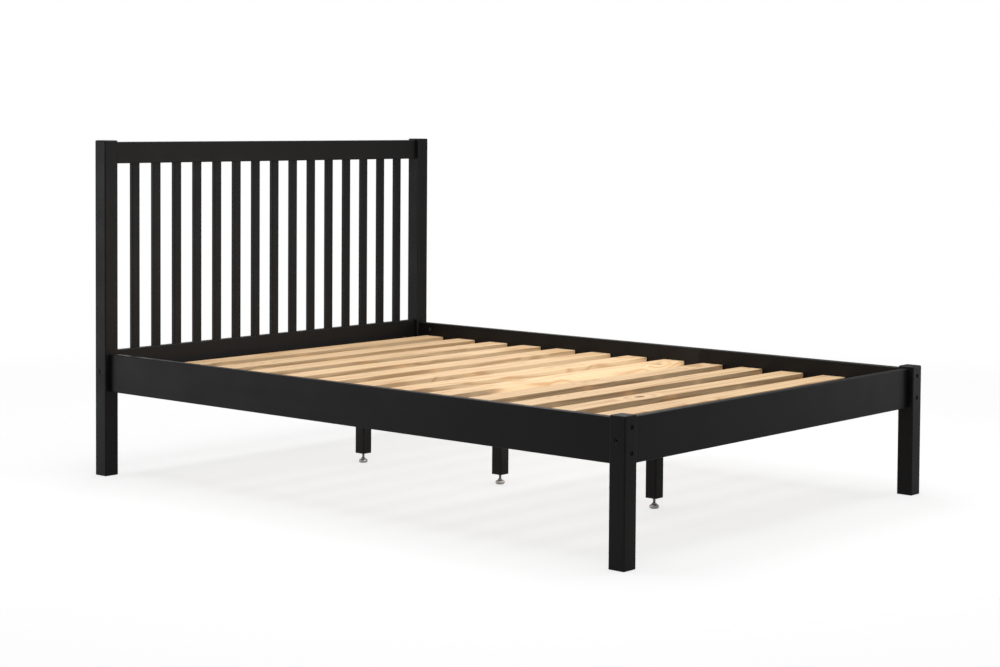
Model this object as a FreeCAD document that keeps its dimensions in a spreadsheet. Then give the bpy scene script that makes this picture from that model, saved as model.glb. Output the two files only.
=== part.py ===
import FreeCAD, Part
import os
import re

# A double bed frame in painted timber: a headboard of upright slats between two rails, a low foot end,
# side rails bolted to square posts, and a slatted base on battens and a centre rail with three legs.
# Millimetres. +X runs across the bed, +Y points to the headboard and +Z is up.
# The origin is on the floor, under the middle of the outer size.

doc = FreeCAD.newDocument("bed_frame")

# Driving dimensions, one alias a row
SIZES = (
    ("overall_width", 1460, "over the outer faces of the posts"),
    ("overall_length", 2060, "over the outer faces of the posts"),
    ("post_size", 50, "square section of the four corner posts"),
    ("post_round", 4, "radius on the post edges"),
    ("headboard_height", 1038, "top of the headboard posts"),
    ("foot_height", 386, "top of the foot posts"),
    ("rail_thickness", 22, "side rails and foot rail"),
    ("rail_setback", 16, "side rails and foot rail inside the outer faces of the posts"),
    ("rail_height", 117, "side rails and foot rail"),
    ("rail_underside", 261, "height of the rails above the floor"),
    ("rail_round", 3, "radius on the long edges of the rails"),
    ("panel_thickness", 22, "headboard rails"),
    ("panel_setback", 14, "headboard rails behind the front of their posts"),
    ("bottom_rail_rise", 9, "headboard bottom rail above the side rails"),
    ("top_rail_height", 67, "headboard top rail"),
    ("top_rail_drop", 5, "headboard top rail below the post tops"),
    ("upright_width", 29, "headboard slat, across the bed"),
    ("upright_thickness", 15, "headboard slat, along the bed"),
    ("upright_round", 2, "radius on the headboard slats"),
    ("upright_count", 15, "headboard slats"),
    ("upright_margin", 86, "post to the middle of the outer headboard slat"),
    ("tenon_shoulder", 3, "step from a headboard slat to its tenon"),
    ("tenon_length", 12, "tenon at each end of a headboard slat"),
    ("joint_gap", 0.1, "clearance round a tenon"),
    ("joint_depth_gap", 0.5, "clearance past the end of a tenon, dowel or bolt"),
    ("well_depth", 45, "top of the base slats below the top of the rails"),
    ("deck_width", 80, "base slat, along the bed"),
    ("deck_thickness", 18, "base slat"),
    ("deck_count", 13, "base slats"),
    ("deck_end_gap", 2, "base slat end to side rail"),
    ("deck_margin", 50, "outer base slats to the end rails"),
    ("deck_round", 2, "radius on the long edges of the base slats"),
    ("ledger_width", 25, "batten inside each side rail"),
    ("ledger_height", 30, "batten inside each side rail"),
    ("ledger_margin", 62, "batten end to the end of its side rail"),
    ("beam_width", 35, "centre rail"),
    ("beam_height", 50, "centre rail"),
    ("beam_gap", 0.3, "centre rail inside its hangers"),
    ("hanger_plate", 2, "steel of the centre rail hangers"),
    ("hanger_reach", 28, "cheeks of a hanger along the centre rail"),
    ("hanger_flange", 16, "screw flange each side of a hanger"),
    ("hanger_screw_low_height", 12, "lower hanger screws above the hanger's underside"),
    ("hanger_screw_high_height", 38, "upper hanger screws above the hanger's underside"),
    ("leg_size", 38, "square section of the centre legs"),
    ("leg_round", 4, "radius on the centre legs"),
    ("leg_spacing", 583, "centre to centre of the centre legs"),
    ("leg_underside", 31, "bottom of the centre legs above the floor"),
    ("bolt_radius", 4, "rail bolts, hanger bolts and foot studs"),
    ("bolt_length", 100, "rail bolt under its head"),
    ("bolt_head_radius", 6.5, "rail bolt head"),
    ("bolt_head_height", 8, "rail bolt head"),
    ("bolt_socket", 3.4, "corner radius of the hexagon socket in a bolt head"),
    ("bolt_socket_depth", 4, "hexagon socket in a bolt head"),
    ("bolt_hole_gap", 0.3, "clearance round a rail bolt"),
    ("bolt_recess", 10, "depth of the counterbore in a post"),
    ("recess_gap", 0.5, "clearance round a bolt head"),
    ("bolt_low_margin", 30, "lower bolts of a side rail above its lower edge"),
    ("bolt_high_margin", 22, "upper bolts of a side rail below its upper edge"),
    ("nut_radius", 6, "barrel nut"),
    ("nut_length", 14, "barrel nut"),
    ("nut_setback", 50, "barrel nut from the end of its rail"),
    ("nut_gap", 0.1, "clearance round a barrel nut"),
    ("dowel_radius", 4, "beech dowels"),
    ("dowel_length", 40, "beech dowels"),
    ("dowel_gap", 0.05, "clearance round a dowel"),
    ("dowel_margin", 10, "dowels of the foot rail inside its long edges"),
    ("top_dowel_margin", 17, "dowels of the top rail inside its long edges"),
    ("screw_radius", 2, "wood screws"),
    ("screw_head_radius", 4, "wood screw head"),
    ("screw_head_height", 2.4, "wood screw head"),
    ("screw_gap", 0.05, "clearance round a wood screw"),
    ("screw_sink", 0.3, "screw head under the face of the wood"),
    ("long_screw", 40, "ledger and slat screws"),
    ("short_screw", 18, "hanger screws"),
    ("tape_width", 30, "webbing that joins the base slats"),
    ("tape_thickness", 1, "webbing that joins the base slats"),
    ("tape_offset", 340, "webbing from the middle of the bed"),
    ("tack_radius", 0.8, "tack shank"),
    ("tack_head_radius", 3.5, "tack head"),
    ("tack_head_height", 0.8, "tack head"),
    ("tack_length", 12, "tack under its head"),
    ("insert_radius", 6, "threaded insert"),
    ("insert_length", 15, "threaded insert"),
    ("insert_gap", 0.1, "clearance round a threaded insert"),
    ("thread_gap", 0.05, "clearance of a stud in its thread"),
    ("hanger_bolt_length", 60, "bolt between a centre leg and the centre rail"),
    ("stud_length", 58, "threaded stud of a levelling foot"),
    ("stud_pocket", 48, "hole for the stud above the leg's underside"),
    ("glide_radius", 14, "levelling foot"),
    ("glide_rim", 5.5, "straight rim of a levelling foot"),
    ("glide_neck_radius", 7, "top of the dome of a levelling foot"),
    ("glide_dome", 6, "height of the dome of a levelling foot"),
    ("glide_floor", 3, "metal under the stud of a levelling foot"),
    ("glide_play", 0.3, "gap between a levelling foot and the collar of its stud"),
    ("collar_radius", 7.2, "corner radius of the spanner collar on a stud"),
    ("collar_height", 4, "spanner collar on a stud"),
    ("overrun", 5, "length of a cut past the face it starts from"),
)

sheet = doc.addObject("Spreadsheet::Sheet", "dims")
for row, (alias, value, note) in enumerate(SIZES, start=1):
    sheet.set("A%d" % row, str(value))
    sheet.setAlias("A%d" % row, alias)
    sheet.set("B%d" % row, note)
doc.recompute()
ALIASES = [alias for alias, _, _ in SIZES]
WORD = re.compile(r"[a-z_]+")


def bound(text):
    """An expression on the sheet's cells, from plain words."""
    return WORD.sub(lambda m: "dims." + m.group(0) if m.group(0) in ALIASES else m.group(0), text)


def number(alias):
    """The present value of one cell."""
    return float(sheet.get(alias))


# Planes and heights that several pieces share
HALF_W = "(overall_width / 2)"
HALF_L = "(overall_length / 2)"
INNER_X = "(overall_width / 2 - post_size)"
POST_Y = "(overall_length / 2 - post_size)"
RAIL_X = "(overall_width / 2 - rail_setback - rail_thickness)"
RAIL_Y = "(overall_length / 2 - rail_setback - rail_thickness)"
PANEL_Y = "(overall_length / 2 - post_size + panel_setback)"
RAIL_TOP = "(rail_underside + rail_height)"
CROSS_BOLT_Z = "(rail_underside + (rail_height + bolt_low_margin - bolt_high_margin) / 2)"
BOTTOM_TOP = "(rail_underside + rail_height + bottom_rail_rise)"
TOP_LOW = "(headboard_height - top_rail_drop - top_rail_height)"
DECK_TOP = "(rail_underside + rail_height - well_depth)"
DECK_LOW = "(rail_underside + rail_height - well_depth - deck_thickness)"
BEAM_LOW = "(rail_underside + rail_height - well_depth - deck_thickness - beam_height)"
BOLT_IN = "(rail_setback + rail_thickness / 2)"
BOLT_FACE = "(bolt_recess - bolt_head_height)"
NUT_REACH = "(nut_length / 2 + joint_depth_gap)"
HANGER_LOW = "(rail_underside + rail_height - well_depth - deck_thickness - beam_height - hanger_plate)"
PANEL_MID_Y = "(overall_length / 2 - post_size + panel_setback + panel_thickness / 2)"
HANGER_SCREWS = ("hanger_screw_low_height", "hanger_screw_high_height")
LEDGER_MID_X = "(overall_width / 2 - rail_setback - rail_thickness - ledger_width / 2)"
UPRIGHT_PITCH = "((overall_width - 2 * post_size - 2 * upright_margin) / (upright_count - 1))"
DECK_PITCH = (
    "((overall_length - post_size + panel_setback - rail_setback - rail_thickness"
    " - 2 * deck_margin - deck_width) / (deck_count - 1))"
)
FIRST_DECK = "(deck_margin + deck_width / 2 - overall_length / 2 + rail_setback + rail_thickness)"

TURN = {
    "z": FreeCAD.Rotation(),
    "x": FreeCAD.Rotation(FreeCAD.Vector(0, 1, 0), 90),
    "y": FreeCAD.Rotation(FreeCAD.Vector(1, 0, 0), -90),
}
NODES = []


def place(thing, at, axis="z"):
    """Binds the place of a solid, whose own axis is turned to x, y or z."""
    thing.Placement = FreeCAD.Placement(FreeCAD.Vector(), TURN[axis])
    for part, text in zip("xyz", at):
        thing.setExpression("Placement.Base." + part, bound(text))
    return thing


def board(name, low, size):
    """A plain board from its lowest corner."""
    box = doc.addObject("Part::Box", name)
    for prop, text in zip(("Length", "Width", "Height"), size):
        box.setExpression(prop, bound(text))
    return place(box, low)


def rod(name, axis, at, radius, length):
    """A round bar or drilled hole that starts at a point and runs along +x, +y or +z."""
    bar = doc.addObject("Part::Cylinder", name)
    bar.setExpression("Radius", bound(radius))
    bar.setExpression("Height", bound(length))
    return place(bar, at, axis)


def eased(blank, radius, axis, ends=()):
    """Rounds the edges of a board along one axis, and those round its named end faces."""
    doc.recompute()
    r = number(radius)
    shape = blank.Shape
    along = "xyz".index(axis)
    box = shape.BoundBox
    limits = {"low": (box.XMin, box.YMin, box.ZMin)[along], "high": (box.XMax, box.YMax, box.ZMax)[along]}
    chosen = []
    for i, edge in enumerate(shape.Edges, start=1):
        a, b = (v.Point for v in edge.Vertexes)
        runs_along = abs(a[along] - b[along]) > r
        at_end = any(abs(a[along] - limits[e]) < r / 2 and abs(b[along] - limits[e]) < r / 2 for e in ends)
        if runs_along or at_end:
            chosen.append((i, r, r))
    piece = doc.addObject("Part::Fillet", blank.Name + "_eased")
    piece.Base = blank
    piece.Edges = chosen
    return piece


def fused(name, pieces):
    """Several shapes joined into one."""
    whole = doc.addObject("Part::MultiFuse", name)
    whole.Shapes = pieces
    return whole


def bored(blank, tools):
    """A piece with all its holes and pockets cut out of it."""
    piece = doc.addObject("Part::Cut", blank.Name + "_bored")
    piece.Base = blank
    piece.Tool = fused(blank.Name + "_holes", tools) if len(tools) > 1 else tools[0]
    return piece


def keep(piece, label):
    """Names a finished sub-part, which is written to a file of that name."""
    piece.Label = label
    if piece.Label != label:
        raise RuntimeError("%s is already the name of something else" % label)
    NODES.append(piece)
    return piece


def copy_of(master, name, at, turn):
    """One more of a fastener, moved to a point and turned."""
    copy = doc.addObject("App::Link", name)
    copy.LinkedObject = master
    copy.LinkTransform = False
    copy.Placement = FreeCAD.Placement(FreeCAD.Vector(), turn)
    for part, text in zip("xyz", at):
        copy.setExpression("Placement.Base." + part, bound(text))
    return copy


def facing(x, y, z):
    """The turn that points a fastener's own +z along a direction."""
    return FreeCAD.Rotation(FreeCAD.Vector(0, 0, 1), FreeCAD.Vector(x, y, z))


def group(label, copies):
    """Like pieces that share one node, as separate solids."""
    together = doc.addObject("Part::Compound", label)
    together.Links = copies
    return keep(together, label)


def signed(sign, text):
    """An expression or its opposite."""
    return text if sign > 0 else "(0 - %s)" % text


def low_of(sign, far, span):
    """The lowest coordinate of a span that reaches inward from far, on the + or - side."""
    return "(%s - %s)" % (far, span) if sign > 0 else "(0 - %s)" % far


SIDES = (("left", -1), ("right", 1))
ENDS = (("foot", -1), ("head", 1))


def side_bolt_heights():
    """The two heights at which a side rail is bolted."""
    return ["(rail_underside + bolt_low_margin)", "(%s - bolt_high_margin)" % RAIL_TOP]


def dowel_heights():
    """The two heights at which the foot rail and the headboard bottom rail are dowelled."""
    return ["(rail_underside + dowel_margin)", "(%s - dowel_margin)" % RAIL_TOP]


def top_dowel_heights():
    """The two heights at which the headboard top rail is dowelled."""
    return ["(%s + top_dowel_margin)" % TOP_LOW, "(headboard_height - top_rail_drop - top_dowel_margin)"]


def end_rail_y(end):
    """The plane of the bolt and dowels of the foot rail or of a headboard rail."""
    return "(%s - %s)" % (BOLT_IN, HALF_L) if end < 0 else PANEL_MID_Y


def make_post(end_name, end, side_name, side):
    """One corner post, with its bolt and dowel holes."""
    height = "foot_height" if end < 0 else "headboard_height"
    name = "%s_post_%s" % (end_name, side_name)
    low = (low_of(side, HALF_W, "post_size"), low_of(end, HALF_L, "post_size"), "0")
    post = eased(board(name + "_blank", low, ("post_size", "post_size", height)), "post_round", "z", ("high",))
    holes = []
    bolt_x = signed(side, "(%s - %s)" % (HALF_W, BOLT_IN))
    for n, z in enumerate(side_bolt_heights()):
        start = "(%s - overrun)" % low[1]
        holes.append(rod("%s_side_hole_%d" % (name, n), "y", (bolt_x, start, z),
                         "bolt_radius + bolt_hole_gap", "post_size + 2 * overrun"))
        recess = "(0 - %s - overrun)" % HALF_L if end < 0 else "(%s - bolt_recess)" % HALF_L
        holes.append(rod("%s_side_recess_%d" % (name, n), "y", (bolt_x, recess, z),
                         "bolt_head_radius + recess_gap", "bolt_recess + overrun"))
    y = end_rail_y(end)
    holes.append(rod(name + "_end_hole", "x", ("(%s - overrun)" % low[0], y, CROSS_BOLT_Z),
                     "bolt_radius + bolt_hole_gap", "post_size + 2 * overrun"))
    recess = "(0 - %s - overrun)" % HALF_W if side < 0 else "(%s - bolt_recess)" % HALF_W
    holes.append(rod(name + "_end_recess", "x", (recess, y, CROSS_BOLT_Z),
                     "bolt_head_radius + recess_gap", "bolt_recess + overrun"))
    heights = dowel_heights() + (top_dowel_heights() if end > 0 else [])
    depth = "(dowel_length / 2 + joint_depth_gap)"
    for n, z in enumerate(heights):
        inner = "(0 - %s - %s)" % (INNER_X, depth) if side < 0 else "(%s - overrun)" % INNER_X
        holes.append(rod("%s_dowel_%d" % (name, n), "x", (inner, y, z),
                         "dowel_radius + dowel_gap", depth + " + overrun"))
    keep(bored(post, holes), "%s_post_%s" % ("headboard" if end > 0 else "foot", side_name))


def end_rail_holes(name, y, heights, with_bolt):
    """Dowel holes, and the bolt and barrel nut holes, in both ends of a rail across the bed."""
    holes = []
    depth = "(dowel_length / 2 + joint_depth_gap)"
    for side_name, side in SIDES:
        for n, z in enumerate(heights):
            start = "(0 - %s - overrun)" % INNER_X if side < 0 else "(%s - %s)" % (INNER_X, depth)
            holes.append(rod("%s_dowel_%s_%d" % (name, side_name, n), "x", (start, y, z),
                             "dowel_radius + dowel_gap", depth + " + overrun"))
        if not with_bolt:
            continue
        deep = "(bolt_length - post_size + bolt_recess + overrun)"
        start = "(0 - %s - overrun)" % INNER_X if side < 0 else "(%s - %s)" % (INNER_X, deep)
        holes.append(rod("%s_bolt_%s" % (name, side_name), "x", (start, y, CROSS_BOLT_Z),
                         "bolt_radius + bolt_hole_gap", deep + " + overrun"))
        nut_x = signed(side, "(%s - nut_setback)" % INNER_X)
        nut_low = "(%s - %s)" % (y, NUT_REACH) if name == "foot_rail" else "(%s - overrun)" % PANEL_Y
        depth = "(%s + overrun + %s)" % (NUT_REACH, "rail_thickness / 2" if name == "foot_rail"
                                         else "panel_thickness / 2")
        holes.append(rod("%s_nut_%s" % (name, side_name), "y", (nut_x, nut_low, CROSS_BOLT_Z),
                         "nut_radius + nut_gap", depth))
    return holes


def hanger_screw_holes(name, y):
    """Pilot holes for the screws of one centre rail hanger, from y for the screw's length."""
    return [rod("%s_pilot_%s_%d" % (name, side_name, n), "y",
                (signed(side, HANGER_SCREW_X), y, "(%s + %s)" % (HANGER_LOW, z)),
                "screw_radius + screw_gap", "short_screw + joint_depth_gap + overrun")
            for side_name, side in SIDES for n, z in enumerate(HANGER_SCREWS)]


HANGER_SCREW_X = "(beam_width / 2 + beam_gap + hanger_plate + hanger_flange / 2)"
SCREW_BITE = "(short_screw - hanger_plate + joint_depth_gap)"


def upright_mortises(name, low_z):
    """A row of mortises for the headboard slats."""
    return [board("%s_mortise_%02d" % (name, i + 1),
                  ("%s - upright_width / 2 + tenon_shoulder - joint_gap" % upright_x(i),
                   "%s - upright_thickness / 2 + tenon_shoulder - joint_gap" % PANEL_MID_Y, low_z),
                  ("upright_width - 2 * tenon_shoulder + 2 * joint_gap",
                   "upright_thickness - 2 * tenon_shoulder + 2 * joint_gap",
                   "tenon_length + joint_depth_gap + overrun"))
            for i in range(int(number("upright_count")))]


def upright_x(i):
    """The middle of headboard slat i across the bed."""
    return "((%d - (upright_count - 1) / 2) * %s)" % (i, UPRIGHT_PITCH)


def make_end_rails():
    """The foot rail and the two headboard rails."""
    span = "(2 * %s)" % INNER_X
    left = "(0 - %s)" % INNER_X
    foot = eased(board("foot_rail_blank", (left, "(0 - %s - rail_thickness)" % RAIL_Y, "rail_underside"),
                       (span, "rail_thickness", "rail_height")), "rail_round", "x")
    holes = end_rail_holes("foot_rail", end_rail_y(-1), dowel_heights(), True)
    holes += hanger_screw_holes("foot_rail", "(0 - %s - %s)" % (RAIL_Y, SCREW_BITE))
    keep(bored(foot, holes), "foot_rail")
    bottom = eased(board("bottom_rail", (left, PANEL_Y, "rail_underside"),
                         (span, "panel_thickness", "rail_height + bottom_rail_rise")), "rail_round", "x")
    holes = end_rail_holes("bottom_rail", end_rail_y(1), dowel_heights(), True)
    holes += hanger_screw_holes("bottom_rail", "(%s - overrun)" % PANEL_Y)
    holes += upright_mortises("bottom_rail", "(%s - tenon_length - joint_depth_gap)" % BOTTOM_TOP)
    keep(bored(bottom, holes), "headboard_bottom_rail")
    top = eased(board("top_rail", (left, PANEL_Y, TOP_LOW), (span, "panel_thickness", "top_rail_height")),
                "rail_round", "x")
    holes = end_rail_holes("top_rail", end_rail_y(1), top_dowel_heights(), False)
    holes += upright_mortises("top_rail", "(%s - overrun)" % TOP_LOW)
    keep(bored(top, holes), "headboard_top_rail")


def make_upright(i):
    """One headboard slat with a tenon at each end."""
    name = "upright_%02d" % (i + 1)
    body = board(name, ("%s - upright_width / 2" % upright_x(i), "%s - upright_thickness / 2" % PANEL_MID_Y,
                        BOTTOM_TOP), ("upright_width", "upright_thickness", "%s - %s" % (TOP_LOW, BOTTOM_TOP)))
    tenon = board(name + "_tenon",
                  ("%s - upright_width / 2 + tenon_shoulder" % upright_x(i),
                   "%s - upright_thickness / 2 + tenon_shoulder" % PANEL_MID_Y,
                   "%s - tenon_length" % BOTTOM_TOP),
                  ("upright_width - 2 * tenon_shoulder", "upright_thickness - 2 * tenon_shoulder",
                   "%s - %s + 2 * tenon_length" % (TOP_LOW, BOTTOM_TOP)))
    keep(fused(name + "_whole", [eased(body, "upright_round", "z"), tenon]), "headboard_slat_%02d" % (i + 1))


def ledger_screw_y(i):
    """Ledger screw i, in the middle of every second gap between base slats."""
    return "(%s + (%d + 0.5) * %s)" % (FIRST_DECK, i, DECK_PITCH)


LEDGER_SCREWS = range(0, int(number("deck_count")) - 1, 2)
LEDGER_MID_Z = "(%s - ledger_height / 2)" % DECK_LOW


def make_side(side_name, side):
    """A side rail and the batten on its inner face."""
    name = "side_rail_" + side_name
    low_x = RAIL_X if side > 0 else "(0 - %s - rail_thickness)" % RAIL_X
    rail = eased(board(name + "_blank", (low_x, "(0 - %s)" % POST_Y, "rail_underside"),
                       ("rail_thickness", "2 * %s" % POST_Y, "rail_height")), "rail_round", "y")
    bolt_x = signed(side, "(%s - %s)" % (HALF_W, BOLT_IN))
    nut_x = "(%s - overrun)" % RAIL_X if side > 0 else "(%s - %s)" % (bolt_x, NUT_REACH)
    deep = "(bolt_length - post_size + bolt_recess + overrun)"
    holes = []
    for end_name, end in ENDS:
        for n, z in enumerate(side_bolt_heights()):
            start = "(0 - %s - overrun)" % POST_Y if end < 0 else "(%s - %s)" % (POST_Y, deep)
            holes.append(rod("%s_bolt_%s_%d" % (name, end_name, n), "y", (bolt_x, start, z),
                             "bolt_radius + bolt_hole_gap", deep + " + overrun"))
            nut_y = signed(end, "(%s - nut_setback)" % POST_Y)
            holes.append(rod("%s_nut_%s_%d" % (name, end_name, n), "x", (nut_x, nut_y, z),
                             "nut_radius + nut_gap", "%s + rail_thickness / 2 + overrun" % NUT_REACH))
    bite = "(long_screw + screw_sink - ledger_width + joint_depth_gap)"
    for i in LEDGER_SCREWS:
        start = "(%s - overrun)" % RAIL_X if side > 0 else "(0 - %s - %s)" % (RAIL_X, bite)
        holes.append(rod("%s_screw_%02d" % (name, i), "x", (start, ledger_screw_y(i), LEDGER_MID_Z),
                         "screw_radius + screw_gap", bite + " + overrun"))
    keep(bored(rail, holes), name)

    name = "ledger_" + side_name
    low_x = low_of(side, RAIL_X, "ledger_width")
    batten = board(name + "_blank", (low_x, "(ledger_margin - %s)" % POST_Y, "%s - ledger_height" % DECK_LOW),
                   ("ledger_width", "2 * %s - 2 * ledger_margin" % POST_Y, "ledger_height"))
    holes = []
    for i in LEDGER_SCREWS:
        holes.append(rod("%s_across_%02d" % (name, i), "x",
                         ("%s - overrun" % low_x, ledger_screw_y(i), LEDGER_MID_Z),
                         "screw_radius + screw_gap", "ledger_width + 2 * overrun"))
        head_x = "(%s - ledger_width - overrun)" % RAIL_X if side > 0 else \
            "(0 - %s + ledger_width - screw_head_height - screw_sink)" % RAIL_X
        holes.append(rod("%s_sink_%02d" % (name, i), "x", (head_x, ledger_screw_y(i), LEDGER_MID_Z),
                         "screw_head_radius + screw_gap", "screw_head_height + screw_sink + overrun"))
    down = "(long_screw + screw_sink - deck_thickness + joint_depth_gap)"
    for i in range(int(number("deck_count"))):
        holes.append(rod("%s_down_%02d" % (name, i), "z",
                         (signed(side, LEDGER_MID_X), deck_y(i), "%s - %s" % (DECK_LOW, down)),
                         "screw_radius + screw_gap", down + " + overrun"))
    keep(bored(batten, holes), name)


def deck_y(i):
    """The middle of base slat i along the bed."""
    return "(%s + %d * %s)" % (FIRST_DECK, i, DECK_PITCH)


def make_deck_slat(i):
    """One base slat, drilled for its screws and its webbing tacks."""
    name = "deck_%02d" % (i + 1)
    slat = eased(board(name, ("deck_end_gap - %s" % RAIL_X, "%s - deck_width / 2" % deck_y(i), DECK_LOW),
                       ("2 * %s - 2 * deck_end_gap" % RAIL_X, "deck_width", "deck_thickness")),
                 "deck_round", "x")
    holes = []
    for side_name, side in SIDES:
        x = signed(side, LEDGER_MID_X)
        holes.append(rod("%s_screw_%s" % (name, side_name), "z", (x, deck_y(i), "%s - overrun" % DECK_LOW),
                         "screw_radius + screw_gap", "deck_thickness + 2 * overrun"))
        holes.append(rod("%s_sink_%s" % (name, side_name), "z",
                         (x, deck_y(i), "%s - screw_head_height - screw_sink" % DECK_TOP),
                         "screw_head_radius + screw_gap", "screw_head_height + screw_sink + overrun"))
        holes.append(rod("%s_tack_%s" % (name, side_name), "z",
                         (signed(side, "tape_offset"), deck_y(i), "%s - overrun" % DECK_LOW),
                         "tack_radius + screw_gap", "tack_length + joint_depth_gap + overrun"))
    keep(bored(slat, holes), "base_slat_%02d" % (i + 1))


def make_tapes():
    """The two webbing tapes under the base slats, joined in one node as separate solids."""
    tapes = []
    first, last = deck_y(0), deck_y(int(number("deck_count")) - 1)
    for side_name, side in SIDES:
        name = "tape_" + side_name
        strip = board(name, ("%s - tape_width / 2" % signed(side, "tape_offset"),
                             "%s - deck_width / 2" % first, "%s - tape_thickness" % DECK_LOW),
                      ("tape_width", "%s - %s + deck_width" % (last, first), "tape_thickness"))
        holes = [rod("%s_tack_%02d" % (name, i), "z",
                     (signed(side, "tape_offset"), deck_y(i), "%s - tape_thickness - overrun" % DECK_LOW),
                     "tack_radius + screw_gap", "tape_thickness + 2 * overrun")
                 for i in range(int(number("deck_count")))]
        tapes.append(bored(strip, holes))
    group("slat_tapes", tapes)


LEGS = (("head", 1), ("middle", 0), ("foot", -1))


def leg_y(step):
    """The middle of a centre leg along the bed."""
    return "(%d * leg_spacing)" % step


BEAM_FOOT = "(hanger_plate + beam_gap - %s)" % RAIL_Y
BEAM_HEAD = "(%s - hanger_plate - beam_gap)" % PANEL_Y


def make_beam():
    """The centre rail, with an insert hole over each leg."""
    beam = eased(board("beam", ("0 - beam_width / 2", BEAM_FOOT, BEAM_LOW),
                       ("beam_width", "%s - %s" % (BEAM_HEAD, BEAM_FOOT), "beam_height")), "deck_round", "y")
    holes = []
    for leg_name, step in LEGS:
        holes.append(rod("beam_insert_" + leg_name, "z", ("0", leg_y(step), "%s - overrun" % BEAM_LOW),
                         "insert_radius + insert_gap", "insert_length + overrun"))
        holes.append(rod("beam_stud_" + leg_name, "z", ("0", leg_y(step), "%s - overrun" % BEAM_LOW),
                         "bolt_radius + bolt_hole_gap", "hanger_bolt_length / 2 + joint_depth_gap + overrun"))
    keep(bored(beam, holes), "centre_rail")


def make_hanger(end_name, end):
    """A pressed steel hanger that carries one end of the centre rail."""
    name = "hanger_" + end_name
    face = "(0 - %s)" % RAIL_Y if end < 0 else "(%s - hanger_plate)" % PANEL_Y
    pocket = "(beam_width + 2 * beam_gap)"
    cheek_y = "(hanger_plate - %s)" % RAIL_Y if end < 0 else "(%s - hanger_plate - hanger_reach)" % PANEL_Y
    half = "(beam_width / 2 + beam_gap + hanger_plate)"
    low = "(%s - hanger_plate)" % BEAM_LOW
    back = board(name + "_back", ("0 - %s - hanger_flange" % half, face, low),
                 ("2 * %s + 2 * hanger_flange" % half, "hanger_plate", "beam_height"))
    tray = board(name + "_tray", ("0 - %s" % half, cheek_y, low),
                 ("2 * %s" % half, "hanger_reach", "hanger_plate"))
    cheeks = [board("%s_cheek_%s" % (name, side_name),
                    ("%s / 2" % pocket if side > 0 else "0 - %s" % half, cheek_y, low),
                    ("hanger_plate", "hanger_reach", "beam_height"))
              for side_name, side in SIDES]
    whole = fused(name, [back, tray] + cheeks)
    holes = [rod("%s_hole_%s_%d" % (name, side_name, n), "y",
                 (signed(side, HANGER_SCREW_X), "%s - overrun" % face, "(%s + %s)" % (HANGER_LOW, z)),
                 "screw_radius + screw_gap", "hanger_plate + 2 * overrun")
             for side_name, side in SIDES for n, z in enumerate(HANGER_SCREWS)]
    keep(bored(whole, holes), "centre_hanger_" + end_name)


def make_leg(leg_name, step):
    """A centre leg, its levelling foot and the foot's stud."""
    name = "leg_" + leg_name
    leg = eased(board(name, ("0 - leg_size / 2", "%s - leg_size / 2" % leg_y(step), "leg_underside"),
                      ("leg_size", "leg_size", "%s - leg_underside" % BEAM_LOW)), "leg_round", "z")
    top = "(hanger_bolt_length / 2 + joint_depth_gap)"
    holes = [
        rod(name + "_insert", "z", ("0", leg_y(step), "leg_underside - overrun"),
            "insert_radius + insert_gap", "insert_length + overrun"),
        rod(name + "_stud", "z", ("0", leg_y(step), "leg_underside - overrun"),
            "bolt_radius + bolt_hole_gap", "stud_pocket + overrun"),
        rod(name + "_top", "z", ("0", leg_y(step), "%s - %s" % (BEAM_LOW, top)),
            "bolt_radius + thread_gap", top + " + overrun"),
    ]
    keep(bored(leg, holes), "centre_leg_" + leg_name)

    name = "glide_" + leg_name
    rim = rod(name + "_rim", "z", ("0", leg_y(step), "0"), "glide_radius", "glide_rim")
    dome = doc.addObject("Part::Cone", name + "_dome")
    for prop, text in (("Radius1", "glide_radius"), ("Radius2", "glide_neck_radius"), ("Height", "glide_dome")):
        dome.setExpression(prop, bound(text))
    place(dome, ("0", leg_y(step), "glide_rim"))
    socket = rod(name + "_socket", "z", ("0", leg_y(step), "glide_floor"),
                 "bolt_radius", "glide_rim + glide_dome - glide_floor + overrun")
    keep(bored(fused(name, [rim, dome]), [socket]), "levelling_foot_" + leg_name)

    name = "stud_" + leg_name
    shank = rod(name + "_shank", "z", ("0", leg_y(step), "glide_floor + glide_play"),
                "bolt_radius - thread_gap", "stud_length")
    collar = doc.addObject("Part::Prism", name + "_collar")
    collar.Polygon = 6
    collar.setExpression("Circumradius", bound("collar_radius"))
    collar.setExpression("Height", bound("collar_height"))
    place(collar, ("0", leg_y(step), "glide_rim + glide_dome + glide_play"))
    keep(fused(name, [shank, collar]), "levelling_stud_" + leg_name)


ORIGIN = ("0", "0", "0")


def bolt_master():
    """A socket head bolt: its head starts at the origin and its shank runs along +z."""
    head = rod("bolt_head", "z", ORIGIN, "bolt_head_radius", "bolt_head_height")
    shank = rod("bolt_shank", "z", ("0", "0", "bolt_head_height - joint_gap"), "bolt_radius",
                "bolt_length + joint_gap")
    socket = doc.addObject("Part::Prism", "bolt_socket_cut")
    socket.Polygon = 6
    socket.setExpression("Circumradius", bound("bolt_socket"))
    socket.setExpression("Height", bound("bolt_socket_depth + overrun"))
    place(socket, ("0", "0", "0 - overrun"))
    return bored(fused("bolt", [head, shank]), [socket])


def nut_master():
    """A barrel nut along z about the origin, cross drilled along x."""
    body = rod("nut_body", "z", ("0", "0", "0 - nut_length / 2"), "nut_radius", "nut_length")
    hole = rod("nut_thread", "x", ("0 - nut_radius - overrun", "0", "0"), "bolt_radius + thread_gap",
               "2 * nut_radius + 2 * overrun")
    return bored(body, [hole])


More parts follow.
